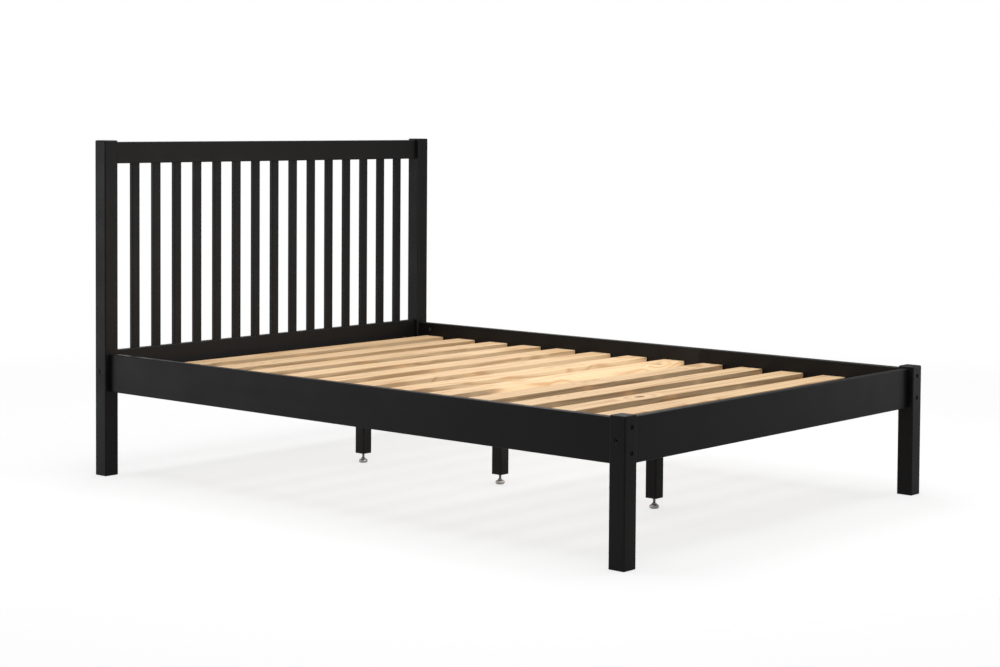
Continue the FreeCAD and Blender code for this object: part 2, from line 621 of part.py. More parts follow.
def screw_master(name, length):
    """A countersunk wood screw: the top of its head is at the origin and it runs along +z."""
    head = doc.addObject("Part::Cone", name + "_head")
    for prop, text in (("Radius1", "screw_head_radius"), ("Radius2", "screw_radius"),
                       ("Height", "screw_head_height")):
        head.setExpression(prop, bound(text))
    shank = rod(name + "_shank", "z", ORIGIN, "screw_radius", length)
    return fused(name, [head, shank])


def make_rail_bolts():
    """The twelve rail bolts, each with its barrel nut."""
    bolt, nut = bolt_master(), nut_master()
    along_x = FreeCAD.Rotation(FreeCAD.Vector(1, 1, 1), 120)
    bolts, nuts = [], []
    for end_name, end in ENDS:
        for side_name, side in SIDES:
            corner = "%s_%s" % (end_name, side_name)
            x = signed(side, "(%s - %s)" % (HALF_W, BOLT_IN))
            face = signed(end, "(%s - %s)" % (HALF_L, BOLT_FACE))
            nut_y = signed(end, "(%s - nut_setback)" % POST_Y)
            for n, z in enumerate(side_bolt_heights()):
                bolts.append(copy_of(bolt, "bolt_%s_%d" % (corner, n), (x, face, z), facing(0, -end, 0)))
                nuts.append(copy_of(nut, "nut_%s_%d" % (corner, n), (x, nut_y, z), along_x))
            y = end_rail_y(end)
            face = signed(side, "(%s - %s)" % (HALF_W, BOLT_FACE))
            nut_x = signed(side, "(%s - nut_setback)" % INNER_X)
            bolts.append(copy_of(bolt, "bolt_%s_end" % corner, (face, y, CROSS_BOLT_Z), facing(-side, 0, 0)))
            nuts.append(copy_of(nut, "nut_%s_end" % corner, (nut_x, y, CROSS_BOLT_Z), TURN["y"]))
    group("rail_bolts", bolts)
    group("barrel_nuts", nuts)


def make_dowels():
    """Beech dowels in both ends of the three rails across the bed."""
    dowel = rod("dowel", "z", ORIGIN, "dowel_radius", "dowel_length")
    dowels = []
    for end_name, end in ENDS:
        heights = dowel_heights() + (top_dowel_heights() if end > 0 else [])
        for side_name, side in SIDES:
            for n, z in enumerate(heights):
                at = ("%s - dowel_length / 2" % signed(side, INNER_X), end_rail_y(end), z)
                dowels.append(copy_of(dowel, "dowel_%s_%s_%d" % (end_name, side_name, n), at, TURN["x"]))
    group("dowels", dowels)


def make_screws():
    """Ledger screws and base slat screws, of one length, and the shorter hanger screws."""
    long_one = screw_master("long_screw_master", "long_screw")
    screws = []
    for side_name, side in SIDES:
        for i in LEDGER_SCREWS:
            at = (signed(side, "(%s - ledger_width + screw_sink)" % RAIL_X), ledger_screw_y(i), LEDGER_MID_Z)
            screws.append(copy_of(long_one, "ledger_screw_%s_%02d" % (side_name, i), at, facing(side, 0, 0)))
        for i in range(int(number("deck_count"))):
            at = (signed(side, LEDGER_MID_X), deck_y(i), "%s - screw_sink" % DECK_TOP)
            screws.append(copy_of(long_one, "slat_screw_%s_%02d" % (side_name, i), at, facing(0, 0, -1)))
    group("wood_screws", screws)
    short_one = screw_master("short_screw_master", "short_screw")
    screws = []
    for end_name, end in ENDS:
        face = signed(end, "(%s - hanger_plate - screw_head_height)" % (PANEL_Y if end > 0 else RAIL_Y))
        for side_name, side in SIDES:
            for n, z in enumerate(HANGER_SCREWS):
                at = (signed(side, HANGER_SCREW_X), face, "%s + %s" % (HANGER_LOW, z))
                name = "hanger_screw_%s_%s_%d" % (end_name, side_name, n)
                screws.append(copy_of(short_one, name, at, facing(0, end, 0)))
    group("hanger_screws", screws)


def make_leg_fixings():
    """Threaded inserts in the legs and the centre rail, and the bolts between them."""
    insert = bored(rod("insert", "z", ORIGIN, "insert_radius", "insert_length"),
                   [rod("insert_thread", "z", ("0", "0", "0 - overrun"), "bolt_radius",
                        "insert_length + 2 * overrun")])
    bolt = rod("hanger_bolt", "z", ORIGIN, "bolt_radius - thread_gap", "hanger_bolt_length")
    inserts, bolts = [], []
    for leg_name, step in LEGS:
        for place_name, z in (("low", "leg_underside"), ("high", BEAM_LOW)):
            name = "insert_%s_%s" % (leg_name, place_name)
            inserts.append(copy_of(insert, name, ("0", leg_y(step), z), TURN["z"]))
        at = ("0", leg_y(step), "%s - hanger_bolt_length / 2" % BEAM_LOW)
        bolts.append(copy_of(bolt, "leg_bolt_" + leg_name, at, TURN["z"]))
    group("threaded_inserts", inserts)
    group("leg_hanger_bolts", bolts)


def make_tacks():
    """The tacks that hold the webbing under the base slats."""
    tack = fused("tack", [rod("tack_head", "z", ORIGIN, "tack_head_radius", "tack_head_height"),
                          rod("tack_shank", "z", ORIGIN, "tack_radius", "tack_length")])
    tacks = []
    for side_name, side in SIDES:
        for i in range(int(number("deck_count"))):
            at = (signed(side, "tape_offset"), deck_y(i), "%s - tape_thickness - tack_head_height" % DECK_LOW)
            tacks.append(copy_of(tack, "tack_%s_%02d" % (side_name, i), at, TURN["z"]))
    group("tape_tacks", tacks)


for end_name, end in ENDS:
    for side_name, side in SIDES:
        make_post(end_name, end, side_name, side)
make_end_rails()
for i in range(int(number("upright_count"))):
    make_upright(i)
for side_name, side in SIDES:
    make_side(side_name, side)
for i in range(int(number("deck_count"))):
    make_deck_slat(i)
make_tapes()
make_beam()
for end_name, end in ENDS:
    make_hanger(end_name, end)
for leg_name, step in LEGS:
    make_leg(leg_name, step)
make_rail_bolts()
make_dowels()
make_screws()
make_leg_fixings()
make_tacks()
doc.recompute()

# Every object has to have recomputed, and every sub-part has to be valid, before a file is written
for thing in doc.Objects:
    if "Invalid" in thing.State or "Error" in thing.State:
        raise RuntimeError("%s failed: %s" % (thing.Name, thing.State))
for piece in NODES:
    if piece.Shape.isNull() or not piece.Shape.isValid() or piece.Shape.Volume <= 0:
        raise RuntimeError("%s has no valid shape" % piece.Label)
os.makedirs("parts", exist_ok=True)
for piece in NODES:
    piece.Shape.exportStep("parts/%s.step" % piece.Label)
box = Part.makeCompound([piece.Shape for piece in NODES]).BoundBox
print(len(NODES), "sub-parts, size %.2f x %.2f x %.2f mm" % (box.XLength, box.YLength, box.ZLength))
print("from", round(box.XMin, 3), round(box.YMin, 3), round(box.ZMin, 3))
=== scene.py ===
import math

import bmesh
import bpy
from bpy.props import FloatProperty, FloatVectorProperty, IntProperty, PointerProperty
from mathutils import Euler, Matrix, Vector


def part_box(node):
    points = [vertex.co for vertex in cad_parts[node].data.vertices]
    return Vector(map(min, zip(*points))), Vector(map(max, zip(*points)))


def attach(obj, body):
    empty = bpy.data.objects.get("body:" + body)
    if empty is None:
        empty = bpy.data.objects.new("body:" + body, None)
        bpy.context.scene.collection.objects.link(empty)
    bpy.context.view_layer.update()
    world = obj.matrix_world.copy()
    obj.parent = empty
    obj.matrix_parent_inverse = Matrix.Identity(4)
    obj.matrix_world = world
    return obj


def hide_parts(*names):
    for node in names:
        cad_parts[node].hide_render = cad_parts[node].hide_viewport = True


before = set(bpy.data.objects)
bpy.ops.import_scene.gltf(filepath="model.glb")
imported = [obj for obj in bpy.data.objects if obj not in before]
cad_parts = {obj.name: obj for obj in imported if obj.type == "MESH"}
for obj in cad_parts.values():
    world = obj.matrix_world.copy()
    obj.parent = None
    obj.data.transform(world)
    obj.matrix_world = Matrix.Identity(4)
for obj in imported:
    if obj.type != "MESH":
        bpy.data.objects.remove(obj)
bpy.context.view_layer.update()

bl_info = {
    "name": "Slatted Bed Frame",
    "version": (1, 0, 0),
    "blender": (4, 5, 0),
    "location": "View3D > Sidebar > Bed Frame",
    "description": "Painted and bare timber, hardware, levelling feet and a studio for a slatted bed frame",
    "category": "Add Mesh",
}

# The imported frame's own box, and the names of its pieces
X, Y, Z = range(3)
AXES = {"x": X, "y": Y, "z": Z}
LEG_NAMES = ("head", "middle", "foot")
CROSS_RAILS = ("headboard_top_rail", "headboard_bottom_rail", "foot_rail")
SIDE_RAILS = ("side_rail_left", "side_rail_right")
POSTS = ("headboard_post_left", "headboard_post_right", "foot_post_left", "foot_post_right")
SLAT_TAPE = "slat_tapes"


def nodes_called(start):
    """The names of the frame's nodes that start alike, in order."""
    return sorted(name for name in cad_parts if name.startswith(start))


# Settings that a user would change


class BedPaint(bpy.types.PropertyGroup):
    """The satin black paint on posts, rails, headboard slats and centre legs."""

    colour: FloatVectorProperty(
        name="Colour", description="Paint on the flats", subtype="COLOR", default=(0.0058, 0.0051, 0.0050),
        min=0, max=1)
    # Lighter paint on the rounded edges: partly wear, partly a painted highlight of the edges' sheen
    edge_wear_and_highlight_colour: FloatVectorProperty(
        name="Edge colour", description="Paint where it thins on an edge", subtype="COLOR",
        default=(0.014, 0.013, 0.0125), min=0, max=1)
    roughness: FloatProperty(name="Roughness", description="Sheen of the flats", default=0.48, min=0, max=1)
    gloss: FloatProperty(
        name="Gloss level", description="Strength of the paint's reflection", default=0.26, min=0, max=1)
    fibre_width: FloatProperty(
        name="Fibre width", description="Grain lines that show through the paint", default=0.0013,
        unit="LENGTH")
    fibre_length: FloatProperty(
        name="Fibre length", description="Grain lines that show through the paint", default=0.12,
        unit="LENGTH")
    fibre_depth: FloatProperty(
        name="Fibre depth", description="Relief of the grain under the paint", default=0.00005,
        unit="LENGTH")
    peel_size: FloatProperty(
        name="Spray texture size", description="Dimples of sprayed paint", default=0.0016, unit="LENGTH")
    peel_depth: FloatProperty(
        name="Spray texture depth", description="Dimples of sprayed paint", default=0.000008, unit="LENGTH")


class BedTimber(bpy.types.PropertyGroup):
    """The bare pine of the base."""

    light: FloatVectorProperty(
        name="Early wood", description="The pale wood between the rings", subtype="COLOR",
        default=(0.74, 0.53, 0.31), min=0, max=1)
    dark: FloatVectorProperty(
        name="Late wood", description="The rings", subtype="COLOR", default=(0.50, 0.29, 0.13),
        min=0, max=1)
    knot: FloatVectorProperty(
        name="Knots", description="The heart of a knot", subtype="COLOR", default=(0.13, 0.058, 0.025),
        min=0, max=1)
    roughness: FloatProperty(name="Roughness", description="Planed surface", default=0.62, min=0, max=1)
    rings: FloatProperty(name="Rings", description="Rings across one swing of the grain", default=11, min=1)
    grain_depth: FloatProperty(
        name="Grain depth", description="Relief of the rings", default=0.00006, unit="LENGTH")


class BedMetal(bpy.types.PropertyGroup):
    """Bolts, screws, hangers and feet."""

    zinc: FloatVectorProperty(
        name="Zinc", description="Plating of bolts and hangers", subtype="COLOR",
        default=(0.56, 0.57, 0.60), min=0, max=1)
    cast: FloatVectorProperty(
        name="Cast metal", description="Satin metal of the levelling pads", subtype="COLOR",
        default=(0.80, 0.80, 0.79), min=0, max=1)
    black: FloatVectorProperty(
        name="Black oxide", description="Finish of the rail bolts", subtype="COLOR",
        default=(0.045, 0.044, 0.043), min=0, max=1)
    zinc_roughness: FloatProperty(
        name="Zinc roughness", description="Sheen of bolts", default=0.38, min=0, max=1)
    black_roughness: FloatProperty(
        name="Black roughness", description="Sheen of the rail bolts", default=0.34, min=0, max=1)
    cast_roughness: FloatProperty(
        name="Cast roughness", description="Sheen of the levelling pads", default=0.36, min=0, max=1)


class BedShapes(bpy.types.PropertyGroup):
    """Roundings and the small forms of the hardware."""

    post_round: FloatProperty(name="Post edges", description="Radius", default=0.004, unit="LENGTH")
    rail_round: FloatProperty(name="Rail edges", description="Radius", default=0.003, unit="LENGTH")
    slat_round: FloatProperty(name="Slat edges", description="Radius", default=0.002, unit="LENGTH")
    arris: FloatProperty(
        name="Sawn ends", description="Radius of an end's edges", default=0.0006, unit="LENGTH")
    segments: IntProperty(
        name="Steps in a rounding", description="Faces across a rounded edge", default=4, min=1)
    tenon_shoulder: FloatProperty(
        name="Tenon shoulder", description="Step from a slat to its tenon", default=0.003, unit="LENGTH")
    recess_flare: FloatProperty(
        name="Recess flare", description="Paint-filled chamfer at a bolt recess", default=0.0007,
        unit="LENGTH")
    recess_gap: FloatProperty(
        name="Recess gap", description="Clearance round a bolt head", default=0.0005, unit="LENGTH")
    socket_radius: FloatProperty(
        name="Socket", description="Corner radius of a bolt's hexagon socket", default=0.0034,
        unit="LENGTH")
    socket_depth: FloatProperty(
        name="Socket depth", description="Depth of a bolt's hexagon socket", default=0.004, unit="LENGTH")
    bolt_head: FloatProperty(
        name="Bolt head", description="Height of a bolt's head", default=0.008, unit="LENGTH")
    shank_radius: FloatProperty(
        name="Shank", description="Radius of bolts and studs", default=0.004, unit="LENGTH")
    screw_radius: FloatProperty(
        name="Screw shank", description="Radius of a wood screw", default=0.002, unit="LENGTH")
    screw_head: FloatProperty(
        name="Screw head", description="Height of a countersunk head", default=0.0024, unit="LENGTH")
    pad_lip: FloatProperty(
        name="Pad lip", description="Flat ring round the stud on top of a levelling foot", default=0.004,
        unit="LENGTH")
    thread_pitch: FloatProperty(
        name="Thread pitch", description="Of the levelling studs", default=0.00125, unit="LENGTH")
    tape_sag: FloatProperty(
        name="Webbing sag", description="Of the webbing between two slats", default=0.0016, unit="LENGTH")


class BedStage(bpy.types.PropertyGroup):
    """Camera, floor and light."""

    eye: FloatVectorProperty(
        name="Eye", description="Where the camera stands", subtype="XYZ", unit="LENGTH",
        default=(-4.7886, -4.1087, 1.1212))
    yaw: FloatProperty(
        name="Yaw", description="Turn from +Y, to the left", subtype="ANGLE", default=math.radians(-49.464))
    pitch: FloatProperty(
        name="Pitch", description="Upward tilt", subtype="ANGLE", default=math.radians(-2.535))
    roll: FloatProperty(
        name="Roll", description="Turn about the line of sight", subtype="ANGLE",
        default=math.radians(0.397))
    focal_pixels: FloatProperty(name="Focal length", description="In pixels of the picture", default=2082.4)
    picture_width: FloatProperty(name="Picture width", description="In pixels", default=1000)
    shift_right: FloatProperty(
        name="Shift right", description="Of the lens, in picture widths", default=-0.0054)
    shift_up: FloatProperty(name="Shift up", description="Of the lens, in picture widths", default=-0.1253)
    floor: FloatVectorProperty(
        name="Floor", description="Colour of the floor", subtype="COLOR", default=(0.92, 0.92, 0.92),
        min=0, max=1)
    floor_reach: FloatProperty(
        name="Floor reach", description="Where the floor starts to fade out", default=1.6, unit="LENGTH")
    floor_fade: FloatProperty(
        name="Floor fade", description="Width of the fade", default=2.4, unit="LENGTH")
    floor_weight: FloatProperty(
        name="Floor weight", description="How much of the floor hides the backdrop", default=0.3,
        min=0, max=1)
    room: FloatProperty(name="Room", description="Light of the room", default=0.19, min=0)
    backdrop: FloatProperty(name="Backdrop", description="Brightness behind the bed", default=1.0, min=0)
    overhead: FloatProperty(
        name="Overhead", description="Softbox over the bed, in watts", default=270, min=0)
    left: FloatProperty(name="Left", description="Softbox at the head's left, in watts", default=46, min=0)
    left_colour: FloatVectorProperty(
        name="Left colour", description="Of the softbox at the head's left", subtype="COLOR",
        default=(0.96, 0.95, 1.0), min=0, max=1)
    right: FloatProperty(
        name="Right", description="Softbox at the foot's right, in watts", default=6, min=0)
    behind: FloatProperty(name="Behind", description="Softbox behind the bed, in watts", default=30, min=0)
    bounce: FloatProperty(
        name="Bounce", description="Light thrown up at the headboard, in watts", default=4, min=0)


LOOKS = {"bed_paint": BedPaint, "bed_timber": BedTimber, "bed_metal": BedMetal, "bed_shapes": BedShapes,
         "bed_stage": BedStage}


# Materials: what varies in each finish.
# Cells are a width across the grain and a length along it. Stops are pairs of a place and a level.
# A sheen is how much a mask changes the roughness, and a share how much it changes the colour.

MIDDLE = 0.5
MIX_COLOURS = (6, 7)
MIX_RESULT = 2
EDGE_STOPS = ((0.01, 0), (0.16, 1))

SWELL_WIDTH_FIBRES = 12
SWELL_LENGTH_FIBRES = 4
SWELL_DEPTH_FIBRES = 3
PAINT_CLOUDS_PER_METRE = 9.0
PAINT_CLOUD_STOPS = ((0.3, 0), (0.7, 1))
PAINT_CLOUD_SHEEN = 0.07
SWELL_SHEEN = 0.06
# Patches along the edges where the paint is lighter: partly wear, partly a painted highlight
EDGE_WEAR_AND_HIGHLIGHT_PER_METRE = 55.0
EDGE_WEAR_AND_HIGHLIGHT_STOPS = ((0.35, 0.25), (0.65, 1))
WEAR_SHEEN = 0.06

LOG_STEP = (1.7, 2.3, 3.1)
KNOT_CELL = (0.16, 0.34)
KNOT_STOPS = ((0.045, 1), (0.075, 0))
SWIRL_STOPS = ((0.05, 1), (0.3, 0))
SWIRL_BEND = 0.16
SWING_CELL = (0.075, 1.4)
RING_SHARPNESS = 3.0
PINE_FIBRE_CELL = (0.0009, 0.05)
STREAK_STOPS = ((0.35, 0), (0.75, 1))
TONE_CELL = (0.05, 0.7)
LATE_SHARE = 0.75
STREAK_SHARE = 0.18
TONE_SHARE = 0.35
PINE_FIBRE_SHEEN = 0.16
LATE_SHEEN = 0.08

BEECH_FLECK_CELL = (0.0006, 0.006)
BEECH_FLECK_STOPS = ((0.4, 0), (0.7, 1))
BEECH_LIGHT = (0.62, 0.42, 0.25)
BEECH_DARK = (0.40, 0.24, 0.13)
BEECH_ROUGHNESS = 0.5
BEECH_FLECK_SHEEN = 0.2
BEECH_FLECK_DEPTH = 0.00004

METAL_PATCHES_PER_METRE = 240.0
METAL_PATCH_STOPS = ((0.35, 0), (0.7, 1))
METAL_PATCH_SHARE = 0.5
METAL_PATCH_SHEEN = 0.10
SCRATCH_CELL = (0.0002, 0.004)
SCRATCH_SHEEN = 0.12
SCRATCH_DEPTH = 0.000004

# Each metal has a setting and the shade of its patches
METALS = {
    "zinc_plate": ("zinc", 0.72),
    "black_oxide": ("black", 0.6),
    "cast_metal": ("cast", 0.85),
}

YARN_SPACING = 0.0022
FUZZ_PER_METRE = 1600.0
WEAVE_SHARE = 0.7
FUZZ_SHARE = 0.3
YARN_LOW = (0.48, 0.47, 0.43)
YARN_HIGH = (0.80, 0.79, 0.74)
WEBBING_NAP = 0.3
WEBBING_ROUGHNESS = 0.78
FUZZ_SHEEN = 0.2
WEAVE_DEPTH = 0.0003
FUZZ_DEPTH = 0.00008

FLOOR_CLOUDS_PER_METRE = 2.0
FLOOR_CLOUD_SHARE = 0.04
FLOOR_CLOUD_COLOUR = (0.88, 0.88, 0.88)
FLOOR_GLOSS = 0.1
FLOOR_ROUGHNESS = 0.85
FLOOR_CLOUD_SHEEN = 0.1
WHITE = (1, 1, 1, 1)


def step_of(operation):
    """A method that makes one step of a sum from a socket and what follows it."""
    return lambda self, *others: self.graph.maths(operation, self, *others)


class Wire:
    """A shader socket that takes part in sums."""

    def __init__(self, graph, socket):
        self.graph = graph
        self.socket = socket

    def __rsub__(self, other):
        return self.graph.maths("SUBTRACT", other, self)

    __add__ = step_of("ADD")
    __radd__ = __add__
    __sub__ = step_of("SUBTRACT")
    __mul__ = step_of("MULTIPLY")
    __truediv__ = step_of("DIVIDE")
    __pow__ = step_of("POWER")
    __abs__ = step_of("ABSOLUTE")


class Graph:
    """The node tree of one new material or world."""

    def __init__(self, name, kind="materials"):
        self.owner = getattr(bpy.data, kind).new(name)
        self.owner.use_nodes = True
        self.tree = self.owner.node_tree
        self.tree.nodes.clear()

    def node(self, kind, settings, inputs, output=0):
        """Adds a node: its settings first, then the values and links of its sockets."""
        made = self.tree.nodes.new(kind)
        for key, value in settings.items():
            if key == "stops":
                self.set_stops(made.color_ramp, value)
            else:
                setattr(made, key, value)
        for key, value in inputs.items():
            if isinstance(value, Wire):
                self.tree.links.new(value.socket, made.inputs[key])
            else:
                made.inputs[key].default_value = value
        return Wire(self, made.outputs[output]) if made.outputs else None

    def set_stops(self, ramp, stops):
        """Sets the two stops of a ramp, each a place and a grey level."""
        for element, (place, level) in zip(ramp.elements, stops):
            element.position = place
            element.color = (level, level, level, 1)

    def maths(self, operation, *values):
        """One step of a sum."""
        return self.node("ShaderNodeMath", {"operation": operation}, dict(enumerate(values)))

    def place(self):
        """Where a point lies in the bed's own frame."""
        return self.node("ShaderNodeTexCoord", {}, {}, "Object")

    def stretched(self, vector, cell, grain):
        """A position counted in cells, each with a width across the grain and a length along it."""
        width, length = cell
        cells = [1 / width] * 3
        cells[AXES[grain]] = 1 / length
        return self.node("ShaderNodeMapping", {"vector_type": "POINT"}, {"Vector": vector, "Scale": cells})

    def streaks(self, vector, cell, grain, detail=2.0):
        """Smooth noise in cells that are a width across the grain and a length along it."""
        return self.noise(self.stretched(vector, cell, grain), detail=detail)

    def noise(self, vector, scale=1.0, detail=2.0):
        """Smooth noise with a number of cells to the unit."""
        inputs = {"Vector": vector, "Scale": scale, "Detail": detail}
        return self.node("ShaderNodeTexNoise", {}, inputs, "Fac")

    def ramp(self, value, stops):
        """A mask that runs between the levels of two stops."""
        return self.node("ShaderNodeValToRGB", {"stops": stops}, {"Fac": value})

    def from_wave(self, wave):
        """A mask from a wave that runs between -1 and 1."""
        return wave * 0.5 + 0.5

    def blend(self, mask, first, second):
        """A colour between two, by a mask."""
        inputs = {0: mask}
        for socket, value in zip(MIX_COLOURS, (first, second)):
            inputs[socket] = value if isinstance(value, Wire) else (*value, 1)
        return self.node("ShaderNodeMix", {"data_type": "RGBA"}, inputs, MIX_RESULT)

    def parts(self, vector):
        """The three parts of a vector."""
        made = self.tree.nodes.new("ShaderNodeSeparateXYZ")
        self.tree.links.new(vector.socket, made.inputs[0])
        return [Wire(self, made.outputs[i]) for i in range(3)]

    def edges(self):
        """1 on rounded edges and 0 on the flats of a square-cut piece."""
        normal = self.node("ShaderNodeTexCoord", {}, {}, "Normal")
        x, y, z = (abs(part) for part in self.parts(normal))
        flatness = self.maths("MAXIMUM", self.maths("MAXIMUM", x, y), z)
        return self.ramp(1 - flatness, EDGE_STOPS)

    def relief(self, height):
        """A bump whose height is in metres."""
        return self.node("ShaderNodeBump", {}, {"Strength": 1.0, "Distance": 1.0, "Height": height})

    def surface(self, colour, roughness, height, **fixed):
        """The finished shader, whose other sockets take fixed values."""
        sockets = {name.replace("_", " "): value for name, value in fixed.items()}
        sockets.update({"Base Color": colour, "Roughness": roughness, "Normal": self.relief(height)})
        shader = self.node("ShaderNodeBsdfPrincipled", {}, sockets)
        self.node("ShaderNodeOutputMaterial", {}, {"Surface": shader})
        return self.owner


def black_paint(grain):
    """Satin black paint over planed timber, whose grain shows faintly."""
    look = bpy.context.scene.bed_paint
    graph = Graph("black_paint_" + grain)
    place = graph.place()
    fibre_cell = (look.fibre_width, look.fibre_length)
    swell_cell = (SWELL_WIDTH_FIBRES * look.fibre_width, SWELL_LENGTH_FIBRES * look.fibre_length)
    fibre = graph.streaks(place, fibre_cell, grain, detail=3)
    swell = graph.streaks(place, swell_cell, grain)
    peel = graph.noise(place, 1 / look.peel_size)
    cloud = graph.ramp(graph.noise(place, PAINT_CLOUDS_PER_METRE, detail=4), PAINT_CLOUD_STOPS)
    # The edge mask lightens the paint on rounded edges: partly wear, partly a painted highlight of the
    # edges
    thin = graph.edges() * graph.ramp(graph.noise(place, EDGE_WEAR_AND_HIGHLIGHT_PER_METRE, detail=5), EDGE_WEAR_AND_HIGHLIGHT_STOPS)
    colour = graph.blend(thin, look.colour, look.edge_wear_and_highlight_colour)
    sheen = look.roughness + (cloud - MIDDLE) * PAINT_CLOUD_SHEEN + (swell - MIDDLE) * SWELL_SHEEN
    roughness = sheen - thin * WEAR_SHEEN
    swell_depth = SWELL_DEPTH_FIBRES * look.fibre_depth
    height = fibre * look.fibre_depth + peel * look.peel_depth + swell * swell_depth
    return graph.surface(colour, roughness, height, Specular_IOR_Level=look.gloss)


def bare_pine(grain):
    """Planed pine with rings, fibres and a few knots, each board from its own log."""
    look = bpy.context.scene.bed_timber
    graph = Graph("bare_pine_" + grain)
    number = graph.node("ShaderNodeAttribute", {"attribute_name": "board_number"}, {}, "Fac")
    steps = {axis: number * step for axis, step in enumerate(LOG_STEP)}
    log = graph.node("ShaderNodeCombineXYZ", {}, steps)
    place = graph.node("ShaderNodeVectorMath", {"operation": "ADD"}, {0: graph.place(), 1: log})
    knot_cells = graph.stretched(place, KNOT_CELL, grain)
    knot_reach = graph.node("ShaderNodeTexVoronoi", {"feature": "F1"},
                            {"Vector": knot_cells, "Scale": 1.0}, "Distance")
    knot = graph.ramp(knot_reach, KNOT_STOPS)
    swirl = graph.ramp(knot_reach, SWIRL_STOPS)
    swing = graph.streaks(place, SWING_CELL, grain, detail=1) + swirl * SWIRL_BEND
    ring = graph.from_wave(graph.maths("SINE", swing * (look.rings * math.tau)))
    late = ring ** RING_SHARPNESS
    fibre = graph.streaks(place, PINE_FIBRE_CELL, grain, detail=4)
    streak = graph.ramp(fibre, STREAK_STOPS)
    tone = graph.streaks(place, TONE_CELL, grain, detail=2)
    colour = graph.blend(late * LATE_SHARE + streak * STREAK_SHARE, look.light, look.dark)
    warm = graph.blend(tone * TONE_SHARE, colour, look.dark)
    with_knots = graph.blend(knot, warm, look.knot)
    roughness = look.roughness + (fibre - MIDDLE) * PINE_FIBRE_SHEEN - late * LATE_SHEEN
    height = late * look.grain_depth + fibre * look.grain_depth
    return graph.surface(with_knots, roughness, height)


def beech():
    """Plain beech for the dowels."""
    graph = Graph("beech")
    place = graph.place()
    fleck = graph.streaks(place, BEECH_FLECK_CELL, "x", detail=3)
    colour = graph.blend(graph.ramp(fleck, BEECH_FLECK_STOPS), BEECH_LIGHT, BEECH_DARK)
    return graph.surface(colour, BEECH_ROUGHNESS + fleck * BEECH_FLECK_SHEEN, fleck * BEECH_FLECK_DEPTH)


def metal(name):
    """Plated steel or cast metal, with cloudy patches and fine scratches."""
    setting, patch_shade = METALS[name]
    look = bpy.context.scene.bed_metal
    colour = tuple(getattr(look, setting))
    roughness = getattr(look, setting + "_roughness")
    graph = Graph(name)
    place = graph.place()
    patch = graph.ramp(graph.noise(place, METAL_PATCHES_PER_METRE, detail=4), METAL_PATCH_STOPS)
    scratch = graph.streaks(place, SCRATCH_CELL, "x", detail=3)
    shade = graph.blend(patch * METAL_PATCH_SHARE, colour, [part * patch_shade for part in colour])
    sheen = roughness + patch * METAL_PATCH_SHEEN + (scratch - MIDDLE) * SCRATCH_SHEEN
    return graph.surface(shade, sheen, scratch * SCRATCH_DEPTH, Metallic=1.0)


def webbing():
    """Woven tape: warp and weft cross over and under."""
    graph = Graph("webbing")
    x, y, _ = graph.parts(graph.place())
    warp = graph.maths("SINE", x * (math.tau / YARN_SPACING))
    weft = graph.maths("SINE", y * (math.tau / YARN_SPACING))
    weave = graph.from_wave(warp * weft)
    fuzz = graph.noise(graph.place(), FUZZ_PER_METRE, detail=3)
    colour = graph.blend(weave * WEAVE_SHARE + fuzz * FUZZ_SHARE, YARN_LOW, YARN_HIGH)
    roughness = WEBBING_ROUGHNESS + fuzz * FUZZ_SHEEN
    height = weave * WEAVE_DEPTH + fuzz * FUZZ_DEPTH
    return graph.surface(colour, roughness, height, Sheen_Weight=WEBBING_NAP)


def studio_floor():
    """A pale, matt floor that fades into the backdrop."""
    look = bpy.context.scene.bed_stage
    graph = Graph("studio_floor")
    place = graph.place()
    cloud = graph.noise(place, FLOOR_CLOUDS_PER_METRE, detail=3)
    colour = graph.blend(cloud * FLOOR_CLOUD_SHARE, look.floor, FLOOR_CLOUD_COLOUR)
    distance = graph.node("ShaderNodeVectorMath", {"operation": "LENGTH"}, {0: place}, "Value")
    faded = (distance - look.floor_reach) / look.floor_fade
    fade = graph.ramp(faded, ((0, 1 - look.floor_weight), (1, 1)))
    roughness = FLOOR_ROUGHNESS + cloud * FLOOR_CLOUD_SHEEN
    solid = graph.node("ShaderNodeBsdfPrincipled", {},
                       {"Specular IOR Level": FLOOR_GLOSS, "Base Color": colour, "Roughness": roughness})
    clear = graph.node("ShaderNodeBsdfTransparent", {}, {})
    mixed = graph.node("ShaderNodeMixShader", {}, {0: fade, 1: solid, 2: clear})
    graph.node("ShaderNodeOutputMaterial", {}, {"Surface": mixed})
    return graph.owner


def white_room():
    """A room that lights the bed softly and shows white behind it."""
    look = bpy.context.scene.bed_stage
    graph = Graph("white_room", "worlds")
    light = graph.node("ShaderNodeBackground", {}, {"Color": WHITE, "Strength": look.room})
    seen = graph.node("ShaderNodeBackground", {}, {"Color": WHITE, "Strength": look.backdrop})
    camera_ray = graph.node("ShaderNodeLightPath", {}, {}, "Is Camera Ray")
    choice = graph.node("ShaderNodeMixShader", {}, {0: camera_ray, 1: light, 2: seen})
    graph.node("ShaderNodeOutputWorld", {}, {"Surface": choice})
    return graph.owner


MADE = {}


def material(recipe, *details):
    """A finish, made once and then shared."""
    key = (recipe.__name__, *details)
    if key not in MADE:
        MADE[key] = recipe(*details)
    return MADE[key]


# Modelling: tolerances, and the number of sides and steps of round forms

LEVEL_SLACK = 1e-5
BOX_SLACK = 1e-4
WELD = 1e-6
SORT_DIGITS = 4
ROUND_SIDES = 40
SCREW_SIDES = 24
STUD_SIDES = 32
PAD_SIDES = 48
HEXAGON_SIDES = 6
THREAD_STEPS = 20
SMOOTH_ANGLE = 35
COLLAR_SMOOTH_ANGLE = 50

